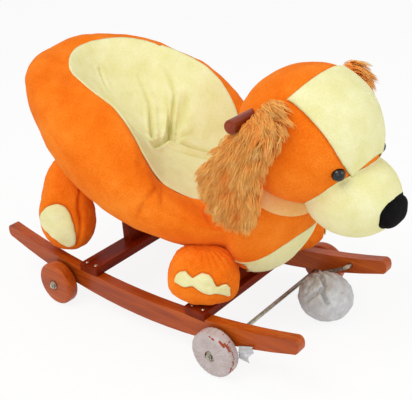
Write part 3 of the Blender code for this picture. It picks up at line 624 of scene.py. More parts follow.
def seat_points(angle, out):
    """Places on the seat: out runs from 0 at the floor to 1 at the lining's edge."""
    share, height = read(RIM, angle)
    x = FLOOR_X + (TUB_RADII[0] * share * np.cos(angle) - FLOOR_X) * out
    return in_frame(x, TUB_RADII[1] * share * np.sin(angle) * out, FLOOR_Z + (height - FLOOR_Z) * out ** 2)


BELT_AT, CREST_AT, FLOOR_AT = 0.30, 0.52, 0.60


def bowl_points(angle, along):
    """Places on the bowl: along runs from 0 under the bottom, over the rim, to 1 at the seat's floor."""
    share, height = read(RIM, angle)
    further, leaning, rise, belt = read(WALL, angle)
    crest, full = share + ROLL, 1 + further
    low = math.pi / 2 * np.clip(along / BELT_AT, 0, 1)
    side = math.pi / 2 * np.clip((along - BELT_AT) / (CREST_AT - BELT_AT), 0, 1)
    roll = np.clip((along - CREST_AT) / (FLOOR_AT - CREST_AT), 0, 1)
    wide = np.where(along <= BELT_AT, full * np.sin(low) ** 0.80,
                    crest + (full - crest) * np.maximum(0, np.cos(side)) ** leaning - ROLL * roll)
    tall = np.where(along <= BELT_AT, belt - (TUB_RADII[2] + belt) * np.cos(low),
                    belt + (height + rise - belt) * np.sin(side) - rise * roll ** 2)
    table = in_frame(TUB_RADII[0] * wide * np.cos(angle), TUB_RADII[1] * wide * np.sin(angle), tall)
    inside = along > FLOOR_AT
    table[inside] = seat_points(angle[inside], 1 - (along[inside] - FLOOR_AT) / (1 - FLOOR_AT))
    return table


print("rim height from", RIM[1].min(), "to", RIM[1].max())

# %% [markdown]
# Bowl and chest are one orange cover. The bowl is a sphere whose rings run from the middle of the bottom,
# up the outer wall, over the rim and down into the seat. The chest is a second sphere in front, and a
# voxel remesh makes one skin of both. Where the seat's lining lies, the skin is held still and sunk.

# %% Body cover
body = added("uv_sphere", "plush_body", segments=168, ring_count=120, radius=1.0)
unit = points_of(body)
angle = np.arctan2(unit[:, 1], unit[:, 0])
along = np.arccos(np.clip(-unit[:, 2], -1, 1)) / math.pi
set_points(body, bowl_points(angle, along))
seat_share = np.clip((along - 0.608) / 0.030, 0, 1)
swell(body, -0.008 * seat_share)
chest = stuffed("plush_chest", place(0.181, 0, 0.217), (0.070, 0.090, 0.114), 21, segments=112, rings=80)
CHEST_WALL = tree_of(chest)
only(body, chest)
bpy.ops.object.join()


def under_lining(table):
    """1 for the skin that the lining covers, 0 elsewhere."""
    local = (table - TUB_CENTRE) @ TUB_TURN
    angle = np.arctan2(local[:, 1] / TUB_RADII[1], local[:, 0] / TUB_RADII[0])
    share, height = read(RIM, angle)
    reach = np.hypot(local[:, 0] / TUB_RADII[0], local[:, 1] / TUB_RADII[1])
    return ((reach < share + 0.004) & (local[:, 2] < height + 0.004) & (local[:, 2] > -0.05)).astype(float)


SIDE_SEAM = ((65, 128.4, 273), (67.4, 144.5, 268.6), (65.6, 155.7, 263), (56.7, 157.6, 248.2),
             (42.2, 152, 226.5))
SIDE_RIDGE = ((51.2, 159.8, 252.6), (60.5, 156.6, 253), (71.2, 152.6, 254.9))
plump(body, 0.0045, 0.004, 0.012, under_lining, 3.0)
settle(body, 0.0022, 0.060, 1)
# The side seams also get painted crease shade, by the last number.
for sign in SIDES.values():
    groove(body, places(SIDE_SEAM, sign), 0.0045, 0.0022, 0.45)
groove(body, places(SIDE_RIDGE, -1), 0.0030, -0.0016)
BODY_WALL = tree_of(body)
dress(body, ORANGE, "orange_plush", "base", "seat_body", "chest", fill=0.85)

# %% [markdown]
# The lining is a padded cream panel sewn into the bowl along its rim. Where the backrest meets the seat
# it is stitched through to the board, which pulls a deep tuft, and sharp folds run up and sideways from
# there. It is a closed form: the upper half of a sphere's rings is the top, the lower half the underside.

# %% Seat lining
FOLDS = (        # places in millimetres, then in metres the width, and the depth at start and end
    (((-13, -53, 288), (-26, -19, 278), (-26, 2, 275), (-5, 20, 267), (17, 33, 259), (40, 47, 252)),
     0.0048, 0.0055, 0.0045),
    (((-11, -12, 269), (14, 8, 259), (43, 27, 250)), 0.0050, 0.0010, 0.0035),
    (((-26, 2, 275), (-41, 23, 287), (-49, 38, 298), (-59, 56, 317), (-65, 68, 333), (-83, 79, 356),
     (-104, 84, 377)), 0.0042, 0.0085, 0.0010),
    (((-36, -30, 283), (-54, -9, 291), (-76, 14, 306), (-90, 30, 320), (-110, 40, 342), (-129, 48, 365)),
     0.0042, 0.0060, 0.0008),
    (((-38, 21, 285), (-64, 47, 312), (-76, 58, 328)), 0.0038, 0.0045, 0.0010),
    (((-26, 2, 275), (-15, 32, 277), (0, 55, 278)), 0.0060, 0.0045, 0.0005),
    (((-30, 12, 278), (-36, 40, 297), (-42, 71, 326)), 0.0110, 0.0050, 0.0030),
    (((-162, -11, 389), (-146, -20, 372), (-133, -25, 359)), 0.0035, 0.0022, 0.0002),
    (((-170, -45, 385), (-150, -52, 368), (-132, -50, 352)), 0.0035, 0.0020, 0.0002),
    (((-26, 2, 275), (-60, -30, 292), (-100, -40, 320)), 0.0050, 0.0040, 0.0002))
TUFT = np.array(place(-0.026, 0.002, 0.275))
lining = added("uv_sphere", "plush_lining", segments=360, ring_count=220, radius=1.0)
unit = points_of(lining)
angle = np.arctan2(unit[:, 1], unit[:, 0])
half_turn = np.arccos(np.clip(-unit[:, 2], -1, 1)) / (math.pi / 2)
upper = half_turn <= 1.0001
out_share = np.clip(np.where(upper, half_turn, 2 - half_turn), 0, 1)
table = seat_points(angle, out_share * 1.006)
facing = unit_rows(TUB_CENTRE + TUB_TURN @ np.array((0, 0, 0.12)) - table)
rim_far = np.clip((1 - out_share) / 0.09, 0, 1)
tuft_far = np.linalg.norm(table - TUFT, axis=1)
relief = 0.0048 + 0.0034 * np.clip((1 - out_share) / 0.5, 0, 1) - 0.009 * bell(tuft_far / 0.012)
# The tuft and the folds are also darkened with painted crease shade, through the fold attribute.
crease_shade = 0.8 * bell(tuft_far / 0.007)
for line, width, first, last in FOLDS:
    far, share = far_from(table, places(line))
    deep = first + (last - first) * share
    relief += deep * (0.55 * bell(far / width - 1.9) - 1.35 * np.exp(-(far / width / 0.85) ** 1.4))
    crease_shade = np.maximum(crease_shade, deep / 0.0085 * bell(1.5 * far / width))
relief = np.maximum(relief, -0.0034) * np.sqrt(1 - (1 - rim_far) ** 2) + 0.0010 * (1 - rim_far)
table += facing * np.where(upper, relief, -0.0045 * rim_far)[:, None]
set_points(lining, table)
paint_crease_shade(lining, np.clip(crease_shade, 0, 1) * upper * 0.8)
settle(lining, 0.0010, 0.040, 9)
press(lining, BODY_WALL, 4 * GAP, upper & (out_share > 0.93), 0.003)
outwards(lining)
dress(lining, CREAM, "cream_plush", "base", "seat_lining", fill=0.55)

# %% [markdown]
# Head, muzzle and nose are stuffed forms too. Each smaller one is laid against the one that it grows out
# of, so that they meet in a crease as sewn plush does.

# %% Head, muzzle and nose
head = stuffed("plush_head", place(0.253, 0, 0.355), (0.103, 0.105, 0.098), face=0.15, segments=120, rings=80)
plump(head, 0.0045, 0.003, 0.01)
settle(head, 0.0014, 0.06, 3)
HEAD_WALL = tree_of(head)
press(head, CHEST_WALL, 0.0035)
muzzle = stuffed("plush_muzzle", place(0.322, 0, 0.278), (0.071, 0.062, 0.061), segments=96, rings=64)
plump(muzzle, 0.004, 0.003, 0.01)
settle(muzzle, 0.0012, 0.05, 4)
MUZZLE_WALL = tree_of(muzzle)
press(muzzle, HEAD_WALL)
press(muzzle, CHEST_WALL, 0.0035)
dress(muzzle, CREAM, "cream_plush", "base", "muzzle")
nose = stuffed("plush_nose", place(0.384, 0, 0.2675), (0.016, 0.030, 0.0215), 4, power=2.5, segments=56,
               rings=40)
settle(nose, 0.0006, 0.02, 5)
press(nose, MUZZLE_WALL)
dress(nose, BLACK, "black_plush", "base", "nose", fill=0.9)

# %% [markdown]
# Sewn panels lie on their forms and turn down at the edge, where the thread draws both cloths in. A panel
# is a plane grid that is bent to an outline, cast on to its form along one direction, puffed in the
# middle, and given its thickness by Solidify. The form sinks a little along the panel's edge.


# %% Sewn panels
def caster(obj, origin, across, upward, towards):
    """Casts a flat place (a, b) along a direction on to a form."""
    wall = tree_of(obj)

    def cast(a, b):
        at, out, _, _ = wall.ray_cast(origin + across * a + upward * b - towards * 0.3, towards)
        if at is None:
            at, out, _, _ = wall.find_nearest(origin + across * a + upward * b)
        return at, out

    return cast


def sewn_panel(name, form, cells, bend, cast, puff=0.0018, edge=0.005, sink=(0.003, 0.0015)):
    """bend turns a grid place, from -1 to 1 both ways, into a place in the plane of the outline."""
    obj = added("grid", name, x_subdivisions=cells[0], y_subdivisions=cells[1], size=2)
    square = points_of(obj)[:, :2]
    flat = np.array([bend(u, v) for u, v in square])
    border = np.nonzero(np.abs(square).max(1) > 0.9999)[0]
    rim = KDTree(len(border))
    for i, k in enumerate(border):
        rim.insert((*flat[k], 0), i)
    rim.balance()
    inside = np.array([min(1.0, rim.find((a, b, 0))[2] / edge) for a, b in flat])
    found = [cast(a, b) for a, b in flat]
    at, out = np.array([f[0] for f in found]), np.array([f[1] for f in found])
    set_points(obj, at + out * (GAP + 0.0008 + puff * np.sqrt(1 - (1 - inside) ** 2))[:, None])
    if (points_of(obj, "normal") * out).sum() < 0:
        edit(obj, bpy.ops.mesh.flip_normals)
    applied(obj, "SOLIDIFY", thickness=0.0008, offset=-1.0)
    turns = sorted(border, key=lambda k: math.atan2(square[k][1], square[k][0]))
    groove(form, [at[k] for k in turns + turns[:1]], *sink)
    return obj


def between(low, high, first, last):
    """Bends the grid to a strip from first to last between two edge curves."""
    def bend(u, v):
        x = first + (last - first) * (u + 1) / 2
        return x, low(x) + (high(x) - low(x)) * (v + 1) / 2
    return bend


def round_outline(points, middle):
    """Bends the grid to a disc, and stretches it to an outline in millimetres round a middle."""
    around = np.array(points) / 1000 - np.array(middle)
    turns, reach = np.arctan2(around[:, 1], around[:, 0]), np.hypot(*around.T)
    order = np.argsort(turns)
    fine = np.linspace(-math.pi, math.pi, 361)
    smooth = np.interp(fine, turns[order], reach[order], period=2 * math.pi)
    smooth = smoothed(smooth[:-1], 12, 6.0, "wrap")

    def bend(u, v):
        x, y = u * math.sqrt(1 - v * v / 2), v * math.sqrt(1 - u * u / 2)
        reach = np.interp(math.atan2(y, x), fine[:-1], smooth, period=2 * math.pi)
        return middle[0] + x * reach, middle[1] + y * reach
    return bend


def curve(table):
    """A smooth curve through a table in millimetres."""
    xs, ys = np.array(table).T / 1000
    fine = np.linspace(xs[0], xs[-1], 240)
    smooth = smoothed(np.interp(fine, xs, ys), 9, 4.5, "edge")
    return lambda x: float(np.interp(x, fine, smooth))


forehead_half = curve(((-36, 69.5), (-15, 71.5), (5, 71.5), (25, 69), (44, 65), (59, 60), (72, 54),
                       (82, 46.5), (90, 37)))
forehead_far = curve(((-36, 60), (-15, 62), (5, 62), (25, 61), (44, 59.5), (59, 58), (72, 56), (82, 53),
                      (90, 49)))
head_cast = caster(head, place(0.253, 0, 0.355), Vector((0.8, 0.0, -0.6)), Vector((0, 1, 0)),
                   Vector((-0.6, 0.0, -0.8)))
forehead = sewn_panel("plush_forehead", head, (70, 70),
                      between(lambda x: -forehead_half(x), forehead_far, -0.036, 0.090), head_cast)
press(forehead, MUZZLE_WALL)
dress(head, ORANGE, "orange_plush", "base", "head")
dress(forehead, CREAM, "cream_plush", "base", "forehead_patch", fill=0.5)

# %% [markdown]
# The belly panel is an oval on the front of the chest, between the paws and under the collar. The collar
# is a flat band of tan plush round the neck: a torus whose round section is cast on to the chest.

# %% Belly and collar
chest_cast = caster(body, place(0.181, 0, 0.140), Vector((0, 1, 0)), Vector((0, 0, 1)), Vector((-1, 0, 0)))
oval = [(73 * math.cos(t), 63 * math.sin(t)) for t in np.linspace(-math.pi, math.pi, 73)[:-1]]
belly = sewn_panel("plush_belly", body, (56, 56), round_outline(oval, (0, 0)), chest_cast, 0.0004, 0.005,
                    (0.004, -0.0003))
dress(belly, CREAM, "cream_plush", "base", "belly_patch", fill=0.5)

collar_axis = Vector((0.559, 0.0, 0.829)).normalized()
collar_across = Vector((collar_axis.z, 0.0, -collar_axis.x))
low, high = [value - collar_axis.x * SHIFT for value in (0.338, 0.361)]
chest_middle = place(0.181, 0, 0.217)
ring_middle = chest_middle + collar_axis * ((low + high) / 2 - chest_middle.dot(collar_axis))
collar = added("torus", "plush_collar", major_segments=144, minor_segments=20, major_radius=1.0,
               minor_radius=0.25)
table = points_of(collar)
for i, (x, y, z) in enumerate(table):
    turn, lift = math.atan2(y, x), math.atan2(z, math.hypot(x, y) - 1)
    way = collar_across * math.cos(turn) + Vector((0, 1, 0)) * math.sin(turn)
    start = ring_middle + collar_axis * (0.5 * (high - low) * math.sin(lift))
    at, out, _, _ = CHEST_WALL.ray_cast(start + way * 0.3, -way)
    stand = GAP + 0.0016 * (1 + math.cos(lift))
    table[i] = at + out * stand if at is not None else start + way * 0.08
set_points(collar, table)
press(collar, BODY_WALL)
outwards(collar)
dress(collar, TAN, "tan_band", "base", "neck_collar", fill=0.4)

# %% [markdown]
# The paws and hind legs are stuffed blocks that lean on the body, and the paws are gathered where they are
# sewn to it. A wavy cream band with three lobes is the toes, and an oval the sole. The left paw hangs a
# little further forward and out than the right one.

# %% Legs
PAWS = {"right": ((0.122, 0.098, 0.131), (0.055, 0.043, 0.047), 38, 8),
        "left": ((0.148, 0.112, 0.137), (0.056, 0.043, 0.045), 25, 0)}
toe_high = curve(((-44, 4), (-40, 15), (-33, 22), (-25, 24), (-21, 18), (-15, 14), (-9, 18), (-1, 22),
                  (9, 20), (14, 13), (17, 2), (21, -2), (28, 1), (34, 0), (39, -10)))
toe_low = curve(((-44, 3), (-37, 1), (-29, -1), (-22, 1), (-16, 2), (-9, -4), (-1, -10), (7, -13),
                 (17, -12), (27, -18), (36, -25), (39, -22)))
SOLE = ((-44, -18), (-34, 3), (-20, 15), (-5, 18), (4, 14), (11, 2), (14, -13), (16, -31), (16, -48),
        (12, -63), (0, -69), (-9, -62), (-18, -50), (-31, -38), (-42, -30))
LEG_FOLD = ((30, 50), (32, 37), (29, 21), (27, 3), (29, -14), (27, -31), (21, -49), (13, -68))


def gather(obj, centre, from_height, depth, count):
    """Small pleats round the top, where the cloth is drawn in by the seam."""
    table = points_of(obj)
    turn = np.arctan2(table[:, 1] - centre.y, table[:, 0] - centre.x)
    near_top = np.clip((table[:, 2] - centre.z - from_height) / 0.02, 0, 1)
    wave = np.abs(np.sin(count * turn + 1.5 * np.sin(2.3 * turn))) ** 0.6 - 1
    swell(obj, depth * wave * near_top)


def limb(kind, side, centre, radii, tilt, yaw, power, taper, rings, waves, pleats=None):
    """A leg that turns outwards by yaw, and the caster that lays flat places on its outer side."""
    sign = SIDES[side]
    obj = stuffed(f"plush_{kind}_{side}", centre, radii, tilt, -sign * yaw, power, taper, segments=64,
                  rings=rings)
    plump(obj, 0.0035, 0.0025, 0.03)
    settle(obj, *waves)
    if pleats:
        gather(obj, centre, *pleats)
    press(obj, BODY_WALL, 0.0005)
    turned = Matrix.Rotation(math.radians(-sign * yaw), 3, "Z")
    forward, inward = turned @ Vector((1, 0, 0)), turned @ Vector((0, -sign, 0))
    return obj, caster(obj, centre, forward, Vector((0, 0, 1)), inward)


CROSSBAR_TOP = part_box("crossbar_front")[1].z + GAP
for side, sign in SIDES.items():
    (x, y, z), radii, yaw, tilt = PAWS[side]
    paw, cast = limb("paw", side, place(x, sign * y, z), radii, tilt, yaw, 2.4, 0.13, 44, (0.0024, 0.024, 6),
                     (0.016, 0.0030, 9))
    toes = sewn_panel(f"plush_toes_{side}", paw, (110, 20), between(toe_low, toe_high, -0.0438, 0.0388), cast,
                      0.0022, 0.0045, (0.0022, 0.0014))
    table = points_of(paw)
    table[:, 2] = np.maximum(table[:, 2], CROSSBAR_TOP)
    set_points(paw, table)
    dress(paw, ORANGE, "orange_plush", "base", f"front_leg_{side}")
    dress(toes, CREAM, "cream_plush", "base", f"toes_{side}", fill=0.5)
    hind, cast = limb("hind_leg", side, place(-0.185, sign * 0.102, 0.168), (0.045, 0.039, 0.084), 1, 39, 2.2,
                      0.32, 56, (0.0022, 0.030, 7))
    # The fold down the hind leg also gets painted crease shade, by the last number.
    groove(hind, [cast(a / 1000, b / 1000)[0] for a, b in LEG_FOLD], 0.0038, 0.0036, 0.5)
    sole = sewn_panel(f"plush_sole_{side}", hind, (36, 44), round_outline(SOLE, (-0.012, -0.025)), cast,
                      0.0022, 0.006)
    dress(hind, ORANGE, "orange_plush", "base", f"hind_leg_{side}")
    dress(sole, CREAM, "cream_plush", "base", f"sole_{side}", fill=0.5)

# %% [markdown]
# The ears carry a long shaggy acrylic pile. Painted fur looks flat at this length, so each ear is a thin
# padded core covered in small tapered locks. Their finish reads an attribute that gives every point its
# tone and painted shade: shade deepest at the roots and along the parting, paler towards the tips, with a
# random tone per clump and lock.

# %% Ear finish
tree, shader, spot, EAR = fresh("long_acrylic_ear_pile")
tone_with_shade = node(tree, "Attribute", {"attribute_name": "lock_tone"}).outputs["Fac"]
strand = node(tree, "TexNoise", {"Scale": 1 / 0.0015, "Detail": 3.0}, {"Vector": spot}).outputs["Fac"]
both = node(tree, "Mix", {"data_type": "FLOAT", "Factor": 0.2}, {"A": tone_with_shade, "B": strand})
hairs = [(0.05, "#F67E28"), (0.30, "#FFA64C"), (0.60, "#FFC46A"), (0.95, "#FFE49C")]
colour = node(tree, "ValToRGB", {"stops": hairs}, {"Fac": both.outputs["Result"]})
relief = node(tree, "Bump", {"Strength": 0.4, "Distance": 0.0005}, {"Height": strand})
wire(tree, shader, {"Roughness": 0.75, "Specular IOR Level": 0.2, "Sheen Weight": 1.0, "Sheen Roughness": 0.6,
                    "Sheen Tint": linear("#FFB45C")},
     {"Base Color": colour.outputs[0], "Normal": relief.outputs[0]})
print("ear finish made")

# %% [markdown]
# A lock is modelled once, from a three-sided cone cut into rings. Its copies are bent, gathered in clumps
# that share a tip, and laid in one mesh. Blender's own hair would look finer, but it has no faces.

# %% One lock
lock = added("cone", "one_lock", vertices=3, radius1=1.0, radius2=0.0, depth=1.0, location=(0, 0, 0.5))
bpy.ops.object.transform_apply(location=True)
for height in (0.3, 0.6, 0.85):
    edit(lock, lambda: bpy.ops.mesh.bisect(plane_co=(0, 0, height), plane_no=(0, 0, 1)))
LOCK = points_of(lock)
LOCK[:, :2] *= (1 + 1.1 * LOCK[:, 2])[:, None]
LOCK_FACES = [tuple(face.vertices) for face in lock.data.polygons]
bpy.data.objects.remove(lock)
print("a lock has", len(LOCK), "points and", len(LOCK_FACES), "faces")

# %% [markdown]
# Each ear hangs from the top of the head, down and back beside the face, and is parted in its lower half.
# Locks grow from faces picked by chance. Blender numbers a sphere's faces differently from run to run, so
# single locks fall differently each time, while the ear as a whole stays the same.


# %% Ears
EAR_LINE = ((0.252, 0.088, 0.428, 0.026), (0.250, 0.108, 0.397, 0.050), (0.217, 0.118, 0.352, 0.060),
            (0.204, 0.122, 0.316, 0.084), (0.2025, 0.1235, 0.285, 0.086), (0.206, 0.123, 0.260, 0.066))
PARTING = ((210.8, 125, 345), (214.4, 125, 314), (215.9, 125, 280), (214, 125, 235))
HANDLE_AXIS, HANDLE_CLEAR = np.array(place(0.213, 0, 0.399)), 0.0145
CLUMPS, EACH, HAIR_SEED = 640, 13, 11
LOCK_LENGTH, LOCK_THICK, LOCK_WAVE = (0.016, 0.026), (0.00052, 0.00090), (0.0004, 0.0016)
PARTING_HALF, LOCK_SCATTER, CORE_TONE = 0.0022, 0.0036, 0.35

def ear_line(sign):
    """Places and widths down the ear. The left one is sewn on a little further forward."""
    rows = np.array([(*place(x, sign * y, z), width) for x, y, z, width in EAR_LINE])
    rows[:, 0] += (0.012, 0.009, 0.003, 0, 0, 0) if sign > 0 else 0
    rows[:, 2] += (0.006, 0.004, 0.000, 0, 0, 0) if sign > 0 else 0
    return rows


def ear_core(name, sign, thick=0.019):
    """A flat padded drop along the ear's line. Returns its directions down, outwards and back too."""
    obj = added("uv_sphere", name, segments=64, ring_count=48, radius=1.0)
    unit = points_of(obj)
    line = ear_line(sign)
    down = line[-1, :3] - line[0, :3]
    down /= np.linalg.norm(down)
    outward = np.array((0, sign, 0)) - down * down[1] * sign
    outward /= np.linalg.norm(outward)
    wide = np.cross(outward, down) * sign
    along = 0.5 - 0.5 * unit[:, 2]
    x, y, z, width = [np.interp(along * 5, range(6), line[:, i]) for i in range(4)]
    scale = np.sqrt(np.maximum(0, 1 - unit[:, 2] ** 4)) / np.maximum(np.hypot(unit[:, 0], unit[:, 1]), 1e-9)
    set_points(obj, np.stack([x, y, z], 1) + np.outer(unit[:, 0] * scale * width / 2, wide)
               + np.outer(unit[:, 1] * scale * thick / 2, outward))
    outwards(obj)
    return obj, down, outward, wide


def fur(core, down, outward, wide, parting):
    """Bent locks in clumps over the core: their points, and a tone for each."""
    chance, clumps = np.random.default_rng(HAIR_SEED), CLUMPS
    polygons = core.data.polygons
    middles = np.array([face.center for face in polygons])
    normals = np.array([face.normal for face in polygons])
    areas = np.array([face.area for face in polygons]) * (normals @ outward > -0.45)
    picked = chance.choice(len(polygons), clumps, p=areas / areas.sum())
    base = middles[picked] + chance.normal(0, 0.0015, (clumps, 3))
    out = normals[picked]
    line = ear_line(np.sign(outward[1]))[:, :3]
    _, run = far_from(base, line)
    middle = np.stack([np.interp(run * 5, range(6), line[:, i]) for i in range(3)], 1)
    off = np.clip((base - middle) @ wide / 0.040, -1, 1)
    high = np.clip((0.22 - run) / 0.15, 0, 1)
    flow = np.outer(1 - 0.6 * high, down) + np.outer(0.45 * off * np.clip(run * 2, 0.2, 1) - 1.2 * high, wide)
    way = unit_rows(0.24 * out + unit_rows(flow) + chance.normal(0, 0.17, (clumps, 3)))
    reach = chance.uniform(*LOCK_LENGTH, clumps) + 0.009 * high
    parted, _ = far_from(base, parting)
    # A clump's shade is partly a random tone and partly painted shade along the parting.
    shade = chance.normal(0.0, 0.12, clumps) - 0.38 * bell(parted / 0.007)
    tip_place = base + way * reach[:, None]
    clear = [np.hypot(*(spot - HANDLE_AXIS)[:, (0, 2)].T) > HANDLE_CLEAR
             for spot in (base, 0.5 * (base + tip_place), tip_place)]
    keep = (parted > PARTING_HALF) & np.all(clear, axis=0)
    base, out, way, reach, shade = [rows[keep] for rows in (base, out, way, reach, shade)]
    count = len(base) * EACH
    index = np.repeat(np.arange(len(base)), EACH)
    scatter = chance.normal(0, LOCK_SCATTER, (count, 3))
    scatter -= (scatter * out[index]).sum(1)[:, None] * out[index]
    root = base[index] + scatter - out[index] * 0.001
    tip = (base + way * reach[:, None])[index] + scatter * 0.45 + chance.normal(0, 0.0014, (count, 3))
    bend = root + out[index] * (reach[index] * 0.34)[:, None] + way[index] * (reach[index] * 0.25)[:, None]
    across = unit_rows(np.cross(tip - root, chance.normal(0, 1, (count, 3))))
    third = unit_rows(np.cross(tip - root, across))
    thick = chance.uniform(*LOCK_THICK, count)[:, None, None]
    s = LOCK[:, 2][None, :, None]
    points = (1 - s) ** 2 * root[:, None] + 2 * s * (1 - s) * bend[:, None] + s ** 2 * tip[:, None]
    wave = np.sin(2 * math.pi * (1.3 * s + chance.uniform(0, 1, count)[:, None, None])) * s
    points = points + across[:, None] * wave * chance.uniform(*LOCK_WAVE, count)[:, None, None]
    points = points + (across[:, None] * LOCK[None, :, :1] + third[:, None] * LOCK[None, :, 1:2]) * thick
    # A point's tone is painted shade, deepest at the roots and fading to paler tips, plus its clump's shade
    # and a random tone per lock.
    tones_and_shade = 0.16 + 0.52 * LOCK[None, :, 2] + (shade[index] + chance.normal(0, 0.08, count))[:, None]
    return points.reshape(-1, 3), np.clip(tones_and_shade, 0, 1).ravel()


for side, sign in SIDES.items():
    core, down, outward, wide = ear_core(f"plush_ear_{side}", sign)
    parting = places(PARTING, sign)
    groove(core, parting, 0.006, 0.005)
    press(core, HEAD_WALL)
    press(core, BODY_WALL)
    table, tones_and_shade = fur(core, down, outward, wide, parting)
    count, size = len(core.data.vertices), len(LOCK)
    faces = [tuple(face.vertices) for face in core.data.polygons]
    for start in range(count, count + len(table), size):
        faces += [tuple(start + corner for corner in face) for face in LOCK_FACES]
    mesh = bpy.data.meshes.new(core.name)
    mesh.from_pydata(np.concatenate([points_of(core), table]).tolist(), [], faces)
    tone_with_shade = mesh.attributes.new("lock_tone", "FLOAT", "POINT")
    tone_with_shade.data.foreach_set("value", np.concatenate([np.full(count, CORE_TONE), tones_and_shade]))
    core.data = mesh
    dress(core, EAR, "ear_pile", "base", f"ear_{side}", fill=0.4)

# %% [markdown]
# Eyes are domes of black acrylic, moulded and polished, on a short stem through the plush. A little
# unevenness in the gloss keeps the highlight from looking like a hole.

# %% Eyes
tree, shader, spot, EYE = fresh("polished_black_acrylic")
cloud = node(tree, "TexNoise", {"Scale": 1 / 0.004}, {"Vector": spot}).outputs["Fac"]
rough = node(tree, "ValToRGB", {"stops": [(0.3, 0.07), (0.7, 0.12)]}, {"Fac": cloud})
wire(tree, shader, {"Base Color": linear("#0B0909")}, {"Roughness": rough.outputs[0]})
for side, sign in SIDES.items():
    at = place(0.332, sign * 0.0555, 0.331)
    eye = stuffed(f"eye_dome_{side}", at, (0.0095,) * 3, power=2.1, segments=48, rings=32)
    eye.data.shade_smooth()
    dress(eye, EYE, "eye_plastic", "base", f"eye_{side}", fill=None)

# %% [markdown]
# Thin white foam sheet still packs the near front wheel, and a bag of it hangs inside the far rocker. It
# lets some light through, so the red wood under it shows faintly where the sheet is stretched, and clearly
# where it is torn. The finish mixes three looks: grey-white foam, a faint warmth, and wood colour, by an
# attribute that marks thin places and tears.

# %% Foam finish
tree, shader, spot, FOAM = fresh("white_polyethylene_foam_sheet")
cloud = node(tree, "TexNoise", {"Scale": 1 / 0.014, "Detail": 5.0, "Roughness": 0.7},
             {"Vector": spot})
sheet = node(tree, "ValToRGB", {"stops": [(0.30, "#B8B8B9"), (0.50, "#C6C7C9"), (0.70, "#DADCDF")]},
             {"Fac": cloud.outputs["Fac"]})
torn = node(tree, "Attribute", {"attribute_name": "torn"}).outputs["Fac"]
ragged = node(tree, "TexNoise", {"Scale": 1 / 0.0025, "Detail": 3.0}, {"Vector": spot}).outputs["Fac"]
uneven = node(tree, "Math", {"operation": "MULTIPLY_ADD", 1: 0.5}, {0: ragged, 2: torn}).outputs[0]
look = sheet.outputs[0]
for under, factor, stops in (("#B08E82", torn, [(0.0, 0.0), (0.25, 0.5)]),
                             ("#9A3A14", uneven, [(0.70, 0.0), (0.78, 1.0)])):
    amount = node(tree, "ValToRGB", {"stops": stops}, {"Fac": factor}).outputs[0]
    look = node(tree, "Mix", {"data_type": "RGBA", 7: linear(under)},
                {"Factor": amount, 6: look}).outputs[2]
cell = node(tree, "TexNoise", {"Scale": 1 / 0.002, "Detail": 3.0}, {"Vector": spot}).outputs["Fac"]
relief = node(tree, "Bump", {"Strength": 0.5, "Distance": 0.0007}, {"Height": cell})
wire(tree, shader, {"Roughness": 0.55, "Specular IOR Level": 0.3},
     {"Base Color": look, "Normal": relief.outputs[0]})
print("foam finish made")


# %% [markdown]
# On the near wheel the sheet is drawn over the face and the tread, round the nut, and pleated towards the
# rim. It is a grid whose one way runs round the wheel and whose other way runs from the nut's hole over
# the rim to its ragged inner edge. Folds stay within a millimetre on the tread, so that the wheel rolls.

# %% Wrapped wheel
def mark_tears(obj, spots, thin=0.0):
    """Writes how far each point is torn: 1 at a tear, less round it, and at least thin everywhere."""
    torn = np.full(len(obj.data.vertices), thin)
    for spot, reach in spots:
        torn = np.maximum(torn, bell(np.linalg.norm(points_of(obj) - np.array(spot), axis=1) / reach))
    obj.data.attributes.new("torn", "FLOAT", "POINT").data.foreach_set("value", torn)


wrap = added("grid", "foam_wrap", x_subdivisions=240, y_subdivisions=56, size=2)
square = points_of(wrap)
turn, run = square[:, 0] * math.pi, (square[:, 1] + 1) / 2
profile = np.array(((8.5, 23.8), (14, 24), (20, 24), (27, 23.9), (32.5, 23.6), (36.2, 22.2), (38.2, 19.6),
                    (38.6, 16.5), (38.6, 11), (38.4, 5), (37.4, 1.2), (34, 0)))
lengths = np.concatenate([[0], np.cumsum(np.linalg.norm(np.diff(profile, axis=0), axis=1))])
radius, height = [np.interp(run, lengths / lengths[-1], profile[:, i] / 1000) for i in (0, 1)]
pleats = np.sin(23 * turn + 2.2 * np.sin(3 * turn)) * 0.5 + np.sin(37 * turn + 3.1 * np.sin(2 * turn)) * 0.5
front = np.clip((0.036 - radius) / 0.006, 0, 1) * (run < 0.6)
height = height + front * (0.0009 + 0.0010 * pleats * np.clip((radius - 0.010) / 0.02, 0.15, 1)
                           + 0.0012 * np.sin(2 * turn + 1.0) * np.sin(radius * 120))
radius = radius - (1 - front) * 0.0004 * (1 + pleats)
at = place(0.182, -WHEEL_OUT + WHEEL_THICK, WHEEL_RADIUS)
set_points(wrap, np.stack([at.x + radius * np.cos(turn), at.y - height, at.z + radius * np.sin(turn)], 1))
outwards(wrap)
if sum(face.normal.y * face.area for face in wrap.data.polygons if face.center.y < at.y - 0.02) > 0:
    edit(wrap, bpy.ops.mesh.flip_normals)
applied(wrap, "SOLIDIFY", thickness=0.0005, offset=-1.0)
TEARS = ((86, 90, 0.0360, 0.1665, 0.0016), (76, 80, 0.0350, 0.1668, 0.0018), (60, 46, 0.0372, 0.1640, 0.0022),
         (50, 30, 0.0385, 0.1605, 0.0020), (44, 8, 0.0385, 0.1570, 0.0016), (4, -8, 0.0385, 0.1595, 0.0018),
         (-12, -30, 0.0380, 0.1630, 0.0018), (-20, -34, 0.0385, 0.1580, 0.0018))
THINNESS = 0.22
mark_tears(wrap, [((at.x + r * math.cos(math.radians(a)), -y, at.z + r * math.sin(math.radians(a))), reach)
                  for first, last, r, y, reach in TEARS for a in np.linspace(first, last, 8)], THINNESS)
